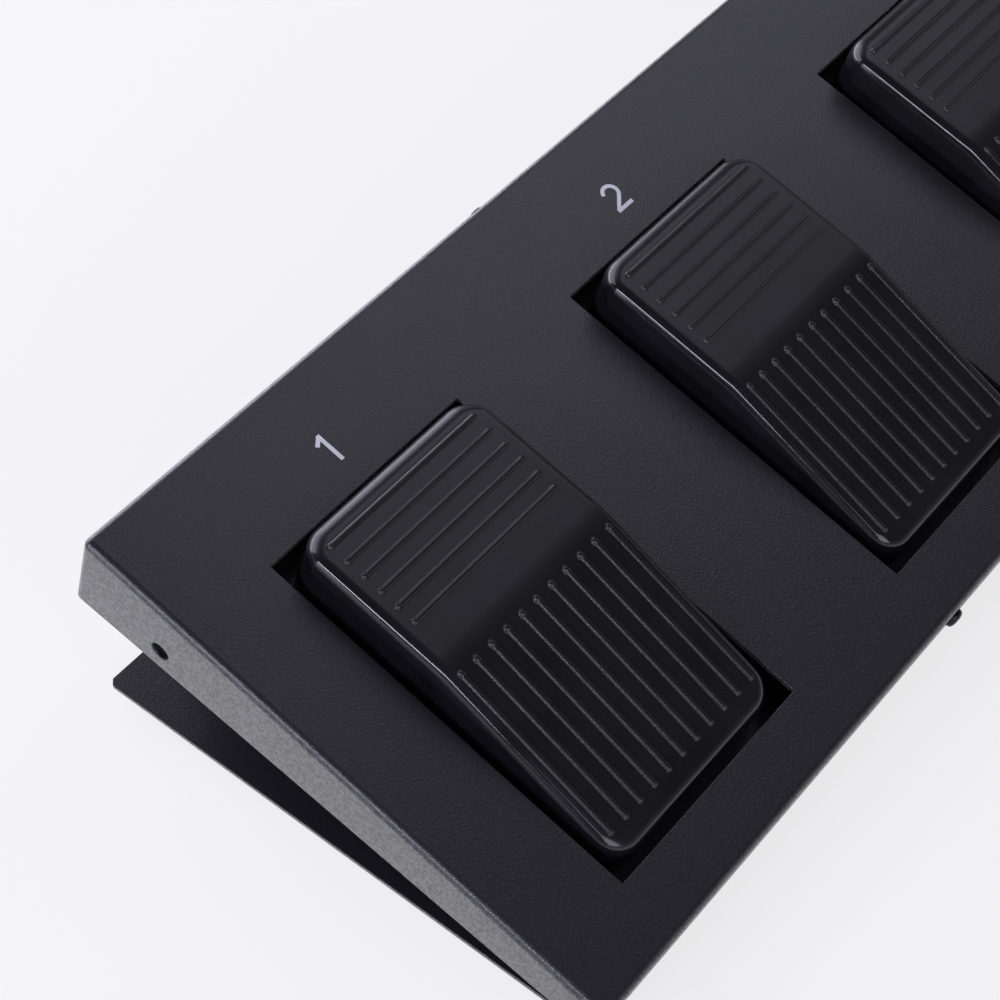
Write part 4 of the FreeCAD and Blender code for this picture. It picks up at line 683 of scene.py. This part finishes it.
def makePedal(number):
    # Ribbed top, roll and skirt, a rim, and the same skin again one wall inside, without ribs.
    # Satin is 1 over the top and fades over the rings of the roll: 2*(1 - ring/reach), 0 to 1.
    edgeY, edgeX = fieldEdge()
    crossEnds = (ribs["crossLength"] - ribs["width"]) / 2
    xs = gradedLines(-edgeX.max(), edgeX.max(), longRibs(),
                     np.concatenate([crossEnds + ribLines, -crossEnds + ribLines]))
    rear, front = longRibEnds()
    extra = np.concatenate([rear - ribs["width"] / 2 + ribLines,
                            front + ribs["width"] / 2 + ribLines, [pedal["bend"]], edgeY])
    ys = gradedLines(edgeY[0], edgeY[-1], crossRibs(), extra)
    top = pedalFields(xs, ys)
    underside = top.copy()
    underside[..., 2] = fieldHeight(top[..., 1]) - pedal["wall"]
    outer = pedalSkin(gridEdge(top), 0.0)
    inner = pedalSkin(gridEdge(underside), pedal["wall"])
    rim = np.stack([outer[-1], inner[-1]])
    surfaces = [{"points": top}, {"points": outer, "closed": True},
                {"points": rim, "closed": True}, {"points": inner[::-1], "closed": True},
                {"points": underside, "flip": True}]
    satin = [np.zeros(surface["points"].size // 3) for surface in surfaces]
    satin[0] += 1
    rearward = np.clip(edgeNormals(gridEdge(top))[:, 1], 0, 1)
    reach = pedal["satinSide"] + (pedal["satinRear"] - pedal["satinSide"]) * rearward[None]
    satin[1] += np.clip(2 * (1 - np.arange(len(outer))[:, None] / reach), 0, 1).ravel()
    for surface in surfaces:
        surface["points"] = onSlope(surface["points"], stationX(number))
    name, node = "pedalCover%d" % number, "pedal_%d" % number
    mesh = surfaceMesh(name, surfaces, attributes={"satin": satin})
    addPiece(name, mesh, node, "moulded_abs", [node])


for number in range(1, stations + 1):
    makePedal(number)

# Leaf springs that push the pedals back. A bend is a radius and its steps.
spring = {"tail": (-94.026, 8.289), "tip": (-97.86, 7.543), "knee": (-112.62, -11.35),
          "foot": (-124.743, -11.35), "gauge": 0.5, "width": 10.0, "tipBend": (0.9, 5),
          "kneeBend": (2.0, 8), "edge": 0.12, "bevel": 0.05, "floor": -11.6, "pressed": 0.84}


def makeSpring(number):
    # Strip carried along its bent middle line: line + across*X + through*normal, its cross
    # section a rectangle with small cut corners, drawn to a point at both ends
    tail, tip, knee, foot = (spring[key] for key in ("tail", "tip", "knee", "foot"))
    line = np.concatenate([[tail], roundCorner(tail, tip, knee, *spring["tipBend"]),
                           roundCorner(tip, knee, foot, *spring["kneeBend"]), [foot]])
    along = np.gradient(line, axis=0)
    along = along / np.linalg.norm(along, axis=1)[:, None]
    normal = np.stack([-along[:, 1], along[:, 0]], 1)
    wide, thick, edge = spring["width"] / 2, spring["gauge"] / 2, spring["edge"]
    section = np.array([(wide, thick - edge), (wide - edge, thick), (edge - wide, thick),
                        (-wide, thick - edge), (-wide, edge - thick), (edge - wide, -thick),
                        (wide - edge, -thick), (wide, edge - thick)])
    across = np.broadcast_to(section[None, :, :1], (len(line), len(section), 1))
    points = np.concatenate([across, line[:, None] + section[None, :, 1:] * normal[:, None]], -1)
    ends = [np.repeat(points[i].mean(0)[None], len(section), 0)[None] for i in (0, -1)]
    points = onSlope(np.concatenate([ends[0], points, ends[1]]), stationX(number))
    name, node = "pedalSpring%d" % number, "return_spring_%d" % number
    mesh = surfaceMesh(name, [{"points": points, "closed": True}])
    piece = addPiece(name, mesh, "housing", slotOf[node], [node])
    softenEdges(piece, spring["bevel"], segments=1)
    applyModifiers(piece)
    anchor = onSlope((0.0, foot[0], spring["floor"]), stationX(number))
    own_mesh(piece)


for number in range(1, stations + 1):
    makeSpring(number)
print("springs made")

# Printed numerals behind the pedals
numerals = {"height": 9.0, "middle": 0.35, "stroke": 0.13, "behind": 8.0, "lift": 0.05,
            "over": 0.004}


def arc(x, y, radius, first, last, steps=20):
    # Points round a middle from one angle to another, in degrees
    angle = np.radians(np.linspace(first, last, steps))
    return np.stack([x + radius * np.cos(angle), y + radius * np.sin(angle)], 1)


# Strokes of each figure in a box one high
figures = {
    1: [[(0.35, 0.0), (0.35, 1.0)], [(0.33, 0.93), (0.08, 0.73)]],
    2: [np.concatenate([arc(0.36, 0.67, 0.265, 165, -38), [(0.08, 0.09)]]),
        [(0.02, 0.065), (0.7, 0.065)]],
    3: [arc(0.33, 0.72, 0.215, 150, -90), arc(0.33, 0.29, 0.225, 90, -150)],
    4: [[(0.53, 0.0), (0.53, 1.0)], [(0.5, 0.97), (0.06, 0.31)], [(0.0, 0.28), (0.74, 0.28)]],
}


def strokeStrip(path, width):
    # Level strip of one width along a path: path +/- normal*width/2, where the normal at an
    # inner point is the mean of its two segments' normals, lengthened to keep the width
    path = np.asarray(path, float)
    along = np.diff(path, axis=0)
    along = along / np.linalg.norm(along, axis=1)[:, None]
    side = np.stack([-along[:, 1], along[:, 0]], 1)
    mean = np.concatenate([side[:1], side[1:] + side[:-1], side[-1:]])
    mean = mean / np.linalg.norm(mean, axis=1)[:, None]
    reach = width / 2 / np.sum(mean * np.concatenate([side[:1], side]), axis=1)
    return withHeight(np.stack([path + mean * reach[:, None], path - mean * reach[:, None]]), 0.0)


def makeNumeral(number):
    # Each stroke lies a hair over the one before it, as a second pass of ink does
    surfaces = []
    for layer, path in enumerate(figures[number]):
        strip = strokeStrip(path, numerals["stroke"]) * numerals["height"]
        strip = strip + [-numerals["middle"] * numerals["height"],
                         numerals["behind"] - cover["windowBack"],
                         numerals["lift"] + layer * numerals["over"]]
        surfaces.append({"points": onSlope(strip, stationX(number)), "flip": True})
    name = "numeral%d" % number
    mesh = surfaceMesh(name, surfaces, outward=False)
    addPiece(name, mesh, "housing", "powder_coated_steel", material=screenInk)


for number in range(1, stations + 1):
    makeNumeral(number)

# Cover screws, their threads cut as a helix
screw = {"head": 2.8, "headRise": 1.9, "headSteps": 14, "shank": 1.3, "length": 6.0,
         "point": 0.7, "pointLength": 0.5, "thread": 0.16, "pitch": 0.7, "segments": 40,
         "rowsPerTurn": 6, "slotWidth": 0.7, "slotReach": 1.65, "slotFoot": 0.9, "slotDepth": 1.2,
         "toolRise": 0.3, "bevel": 0.08}


def helixWave(height, angle, pitch):
    # Triangle wave from -1 to 1 of height/pitch + angle/turn
    phase = (height / pitch + angle / (2 * math.pi)) % 1
    return 4 * np.abs(phase - 0.5) - 1


def screwSurface(place, axis):
    # Pan head, a superellipse: radius*sin(t)^(2/3), rise*cos(t)^(2/3). Then the shank, threaded
    # from its second row to the point.
    turn = np.linspace(0, math.pi / 2, screw["headSteps"])
    headRadius = screw["head"] * np.sin(turn) ** (2 / 3)
    headHeight = screw["headRise"] * np.cos(turn) ** (2 / 3)
    rows = int(screw["length"] / screw["pitch"] * screw["rowsPerTurn"])
    shank = -np.linspace(0, screw["length"] - screw["pointLength"], rows)
    height = np.concatenate([headHeight, [0.0], shank, [-screw["length"], -screw["length"]]])
    radius = np.concatenate([headRadius, np.full(rows + 1, screw["shank"]), [screw["point"], 0.0]])
    angle = np.linspace(0, 2 * math.pi, screw["segments"], endpoint=False)
    cut = np.zeros(len(height))
    cut[len(turn) + 2:-2] = screw["thread"]
    wave = helixWave(height[:, None], angle[None], screw["pitch"])
    return turnedGrid(radius[:, None] + cut[:, None] * wave, height, place, axis, (1, 0, 0))


def crossTool(place, axis):
    # Cross-shaped wedge: a plus outline, full size at the head's top and smaller at its foot
    across, reach = screw["slotWidth"] / 2, screw["slotReach"]
    outline = []
    for turn in (0, math.pi / 2, math.pi, 1.5 * math.pi):
        for x, y in ((reach, -across), (reach, across), (across, across)):
            outline.append((x * math.cos(turn) - y * math.sin(turn),
                            x * math.sin(turn) + y * math.cos(turn)))
    outline = np.array(outline)
    top = screw["headRise"] + screw["toolRise"]
    low = screw["headRise"] - screw["slotDepth"]
    scale = np.array([0.0, 1.0, screw["slotFoot"] / reach, 0.0])
    height = np.array([top, top, low, low])
    right = np.array([1.0, 0.0, 0.0])
    plan = outline[:, :1] * right + outline[:, 1:] * np.cross(axis, right)
    points = place + (scale[:, None, None] * plan[None] + height[:, None, None] * axis) * mm
    return addObject("crossTool", surfaceMesh("crossTool", [{"points": points, "closed": True}]))


def makeCoverScrews(name, node, y, drop, outward):
    # The two screws of one edge, in one piece
    places = [onSlope((x, y, -drop)) for x in (-coverHoles["screwX"], coverHoles["screwX"])]
    surfaces = [{"points": screwSurface(place, outward), "closed": True} for place in places]
    piece = addPiece(name, surfaceMesh(name, surfaces), "housing", slotOf[node], [node])
    drill(piece, [crossTool(place, outward) for place in places])
    softenEdges(piece, screw["bevel"], segments=1)
    applyModifiers(piece)


makeCoverScrews("frontScrews", "front_screws", -cover["depth"], coverHoles["frontDrop"], -slopeBack)
makeCoverScrews("rearScrews", "rear_screws", 0.0, coverHoles["backDrop"], slopeBack)

# Threaded inserts behind the side holes
insert = {"flats": 9.0, "bore": 5.0, "length": 6.0, "pitch": 0.8, "thread": 0.28, "segments": 72,
          "rows": 52, "mouth": 0.1, "chamfer": 0.45, "turned": 0.1}


def makeInserts():
    # Bore: a helix on its radius. Outside: a hexagon, flats/2 / cos(angle from the flat's middle),
    # held to a circle at both ends, where its corners are turned off.
    angle = np.linspace(0, 2 * math.pi, insert["segments"], endpoint=False)
    length, halfBore, halfFlats = insert["length"], insert["bore"] / 2, insert["flats"] / 2
    hexagon = halfFlats / np.cos((angle + math.pi / 6) % (math.pi / 3) - math.pi / 6)
    turned = np.minimum(hexagon, halfFlats + insert["turned"])
    height = np.linspace(0, length, insert["rows"])
    bore = halfBore + insert["thread"] * helixWave(height[:, None], angle[None], insert["pitch"])
    bore[[0, -1]] = halfBore + insert["thread"] + insert["mouth"]
    radius = np.concatenate([bore, [turned, hexagon, hexagon, turned], bore[:1]])
    height = np.concatenate([height, [length, length - insert["chamfer"], insert["chamfer"], 0, 0]])
    surfaces = []
    for sign in (-1, 1):
        place = onSlope((sign * (cover["width"] / 2 - cover["gauge"]),
                         -coverHoles["sideBack"], -coverHoles["sideDrop"]))
        points = turnedGrid(radius, height, place, (-sign, 0.0, 0.0), slopeUp)
        surfaces.append({"points": points, "closed": True})
    # They wear the black oxide material in place of their slot's, which makes them dark
    mesh = surfaceMesh("threadedInserts", surfaces)
    piece = addPiece("threadedInserts", mesh, "housing", slotOf["side_nuts"], ["side_nuts"],
                     materials["black_oxide_steel"])
    weightNormals(piece)
    applyModifiers(piece)


makeInserts()

# Feet
foot = {"x": 218.0, "front": -60.4, "back": 58.08, "segments": 56,
        "profile": [(0, 4.0), (6.3, 4.0), (6.75, 3.6), (7.0, 3.0), (7.0, 1.3), (6.85, 0.7),
                    (6.5, 0.25), (6.0, 0.0), (3.7, 0.0), (3.3, 0.3), (3.0, 1.0), (0, 1.1)]}


def makeFeet():
    # Rubber feet: a turned profile with rounded edges and a dished middle
    surfaces = []
    for x in (-foot["x"], foot["x"]):
        for y in (foot["front"], foot["back"]):
            place = np.array([x, y, 0.0]) * mm
            points = revolve(foot["profile"], foot["segments"], place, (0, 0, 1), (1, 0, 0))
            surfaces.append({"points": points, "closed": True})
    mesh = surfaceMesh("rubberFeet", surfaces)
    piece = addPiece("rubberFeet", mesh, "housing", slotOf["rubber_feet"], ["rubber_feet"])
    weightNormals(piece)
    applyModifiers(piece)


makeFeet()

# Status lamp
statusLamp = {"radius": 2.5, "chamfer": 0.2, "domeSteps": 10, "segments": 48}


def makeStatusLens():
    # Cast lens: a straight cylinder, then a half sphere: radius*cos(t), cylinder + radius*sin(t)
    low, high = (np.array(corner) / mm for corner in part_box("status_led"))
    radius, chamfer = statusLamp["radius"], statusLamp["chamfer"]
    straight = high[1] - low[1] - radius
    turn = np.linspace(0, math.pi / 2, statusLamp["domeSteps"])
    dome = np.stack([radius * np.cos(turn), straight + radius * np.sin(turn)], 1)
    dome[-1, 0] = 0.0
    profile = np.concatenate([[(0, 0), (radius - chamfer, 0), (radius, chamfer)], dome])
    place = np.array([(low[0] + high[0]) / 2, low[1], (low[2] + high[2]) / 2]) * mm
    points = revolve(profile, statusLamp["segments"], place, (0, 1, 0), (1, 0, 0))
    mesh = surfaceMesh("statusLens", [{"points": points, "closed": True}])
    addPiece("statusLens", mesh, "housing", "lamp_lens", ["status_led"])


makeStatusLens()
print("small pieces made")

# Marks on the rocker: a bar at the end that switches on and a ring at the other
marks = {"height": 2.6, "stroke": 0.13, "lift": 0.03, "facing": 0.6}
markStrokes = {"barMark": [(0.0, -0.5), (0.0, 0.5)], "ringMark": arc(0.0, 0.0, 0.43, 0, 360, 33)}


def rockerFaces():
    # Middle and normal of the rocker's two outer faces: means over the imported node's own
    # triangles on either side, weighted by their area
    found = {False: [], True: []}
    for face in frame["nodes"]["power_rocker"].data.polygons:
        if face.normal.y > marks["facing"]:
            found[face.normal.x > 0].append([face.area, *face.center, *face.normal])
    tables = [np.array(rows) for rows in found.values()]
    return [np.average(table[:, 1:], axis=0, weights=table[:, 0]) for table in tables]


def makeRockerMarks():
    # Strokes laid on the rocker's faces: middle + across*x + up*y, a hair off the surface
    for face, (name, path) in zip(rockerFaces(), markStrokes.items()):
        normal, up = face[3:] / np.linalg.norm(face[3:]), np.array([0.0, 0.0, 1.0])
        strip = strokeStrip(path, marks["stroke"]) * marks["height"]
        points = face[:3] + (normal * marks["lift"] + strip[..., :1] * np.cross(up, normal)
                             + strip[..., 1:2] * up) * mm
        mesh = surfaceMesh(name, [{"points": points, "flip": True}], outward=False)
        addPiece(name, mesh, "rocker", slotOf["power_rocker"], material=screenInk)


makeRockerMarks()

# Nodes that keep their own shape
softWidths = {"base_plate": 0.2, "rear_panel": 0.2, "end_cheek_left": 0.2, "end_cheek_right": 0.2,
              "pedal_tray": 0.2, "battery_holder": 0.35, "battery_drawer": 0.35, "battery": 0.8,
              "power_switch_body": 0.3, "power_rocker": 0.4, "crystal": 0.3, "capacitors": 0.2,
              "led_clip": 0.2}
thinWidth = 0.1
nodeWeld = 0.001 * mm
# The base plate's duller copy of the coat is painted shade
ownMaterials = {"base_plate": makePowderCoat("shadedPowderCoat", shadedCoat)}
for name, node in frame["nodes"].items():
    node.data.materials.clear()
    node.data.materials.append(ownMaterials.get(name, materials[slotOf[name]]))
    node.data.polygons.foreach_set("use_smooth", np.ones(len(node.data.polygons), bool))
    softenEdges(node, softWidths.get(name, thinWidth), weld=nodeWeld)
print("nodes dressed:", len(frame["nodes"]))

# Studio
studio = {"floorReach": 30.0, "floorGap": 0.1, "floorColour": "#f2f2f4", "floorRough": 0.9,
          "glow": 0.75, "world": 0.5, "wall": "#d8d8e4", "ceiling": "#74747e",
          "wallTop": (0.1, 0.5), "light": "#eeecff"}


def makeFloor():
    # One level cell under the feet, wide enough that no view sees its edge. Painted pale, and
    # seen by the camera and in reflections partly as plain white, as a lit backdrop is.
    half = studio["floorReach"]
    low = cadBox[0][2] - studio["floorGap"] * mm
    corners = np.array([[[-half, -half, low], [half, -half, low]],
                        [[-half, half, low], [half, half, low]]])
    floor = addObject("floor", surfaceMesh("floor", [{"points": corners}], outward=False))
    material, tree, shader = newMaterial("paleFloor", {
        "Base Color": linear(studio["floorColour"]), "Roughness": studio["floorRough"]})[:3]
    rays = addNode(tree, "ShaderNodeLightPath").outputs
    glow = addNode(tree, "ShaderNodeEmission")
    seen = combine(tree, "MAXIMUM", rays["Is Camera Ray"], rays["Is Glossy Ray"])
    seen = combine(tree, "MAXIMUM", seen, rays["Is Transmission Ray"])
    share = ramp(tree, seen, 0.0, studio["glow"], 0.0, 1.0)
    mixed = addNode(tree, "ShaderNodeMixShader",
                    links={0: share, 1: shader.outputs["BSDF"], 2: glow.outputs["Emission"]})
    output = tree.nodes["Material Output"]
    tree.links.new(mixed.outputs["Shader"], output.inputs["Surface"])
    floor.data.materials.append(material)


def makeWorld():
    # Pale walls near the floor and a darker ceiling, blended over the direction's height
    world = bpy.data.worlds.new("studioWorld")
    world.use_nodes = True
    tree = world.node_tree
    background = tree.nodes["Background"]
    background.inputs["Strength"].default_value = studio["world"]
    place = addNode(tree, "ShaderNodeTexCoord").outputs["Generated"]
    height = addNode(tree, "ShaderNodeSeparateXYZ", links={0: place}).outputs["Z"]
    share = ramp(tree, height, 0.0, 1.0, *studio["wallTop"])
    share.node.interpolation_type = "SMOOTHSTEP"
    colour = blendColours(tree, share, studio["wall"], studio["ceiling"])
    tree.links.new(colour, background.inputs["Color"])
    bpy.context.scene.world = world


# Place, point aimed at and size in metres, and power in watts
lamps = {
    "rearSoftbox": ((0.0, 1.0, 0.47), (0.0, 0.0, 0.03), (1.26, 0.74), 8.2),
    "rearStrip": ((0.2, 1.3, 0.17), (0.0, 0.0, 0.05), (1.6, 0.2), 4.0),
    "leftStrip": ((-1.26, 0.08, 0.6), (-0.1, 0.0, 0.0), (1.0, 0.1), 7.0),
    "leftBox": ((-1.15, 0.4, 0.22), (-0.1, 0.0, 0.0), (0.5, 0.25), 1.2),
    "overhead": ((1.05, 0.15, 1.3), (1.05, 0.15, 0.0), (1.7, 0.6), 3.8),
    "frontFill": ((-0.7, -1.1, 0.65), (0.0, 0.0, 0.0), (0.8, 0.8), 6.0),
}


def makeLamp(name, place, aim, size, watts):
    light = bpy.data.lights.new(name, "AREA")
    light.shape = "RECTANGLE"
    light.size, light.size_y = size
    light.energy = watts
    light.color = linear(studio["light"])[:3]
    holder = addObject(name, light)
    holder.location = place
    toward = Vector(aim) - Vector(place)
    holder.rotation_euler = toward.to_track_quat("-Z", "Y").to_euler()


# Place in mm, clip in metres
camera = {"place": (-431.8, -220.6, 481.2), "forward": (0.4900, 0.4159, -0.7661),
          "up": (0.6002, 0.4764, 0.6425), "lens": 81.3, "sensor": 36.0, "clip": (0.01, 100)}


def makeCamera():
    data = bpy.data.cameras.new("camera")
    data.lens = camera["lens"]
    data.sensor_width = camera["sensor"]
    data.clip_start, data.clip_end = camera["clip"]
    holder = addObject("camera", data)
    forward = Vector(camera["forward"]).normalized()
    right = forward.cross(Vector(camera["up"])).normalized()
    up = right.cross(forward)
    turn = Matrix((right, up, -forward)).transposed().to_4x4()
    holder.matrix_world = Matrix.Translation(Vector(camera["place"]) * mm) @ turn
    bpy.context.scene.camera = holder


makeFloor()
makeWorld()
for name, settings in lamps.items():
    makeLamp(name, *settings)
makeCamera()
bpy.context.scene.view_settings.view_transform = "Standard"
print("studio made")
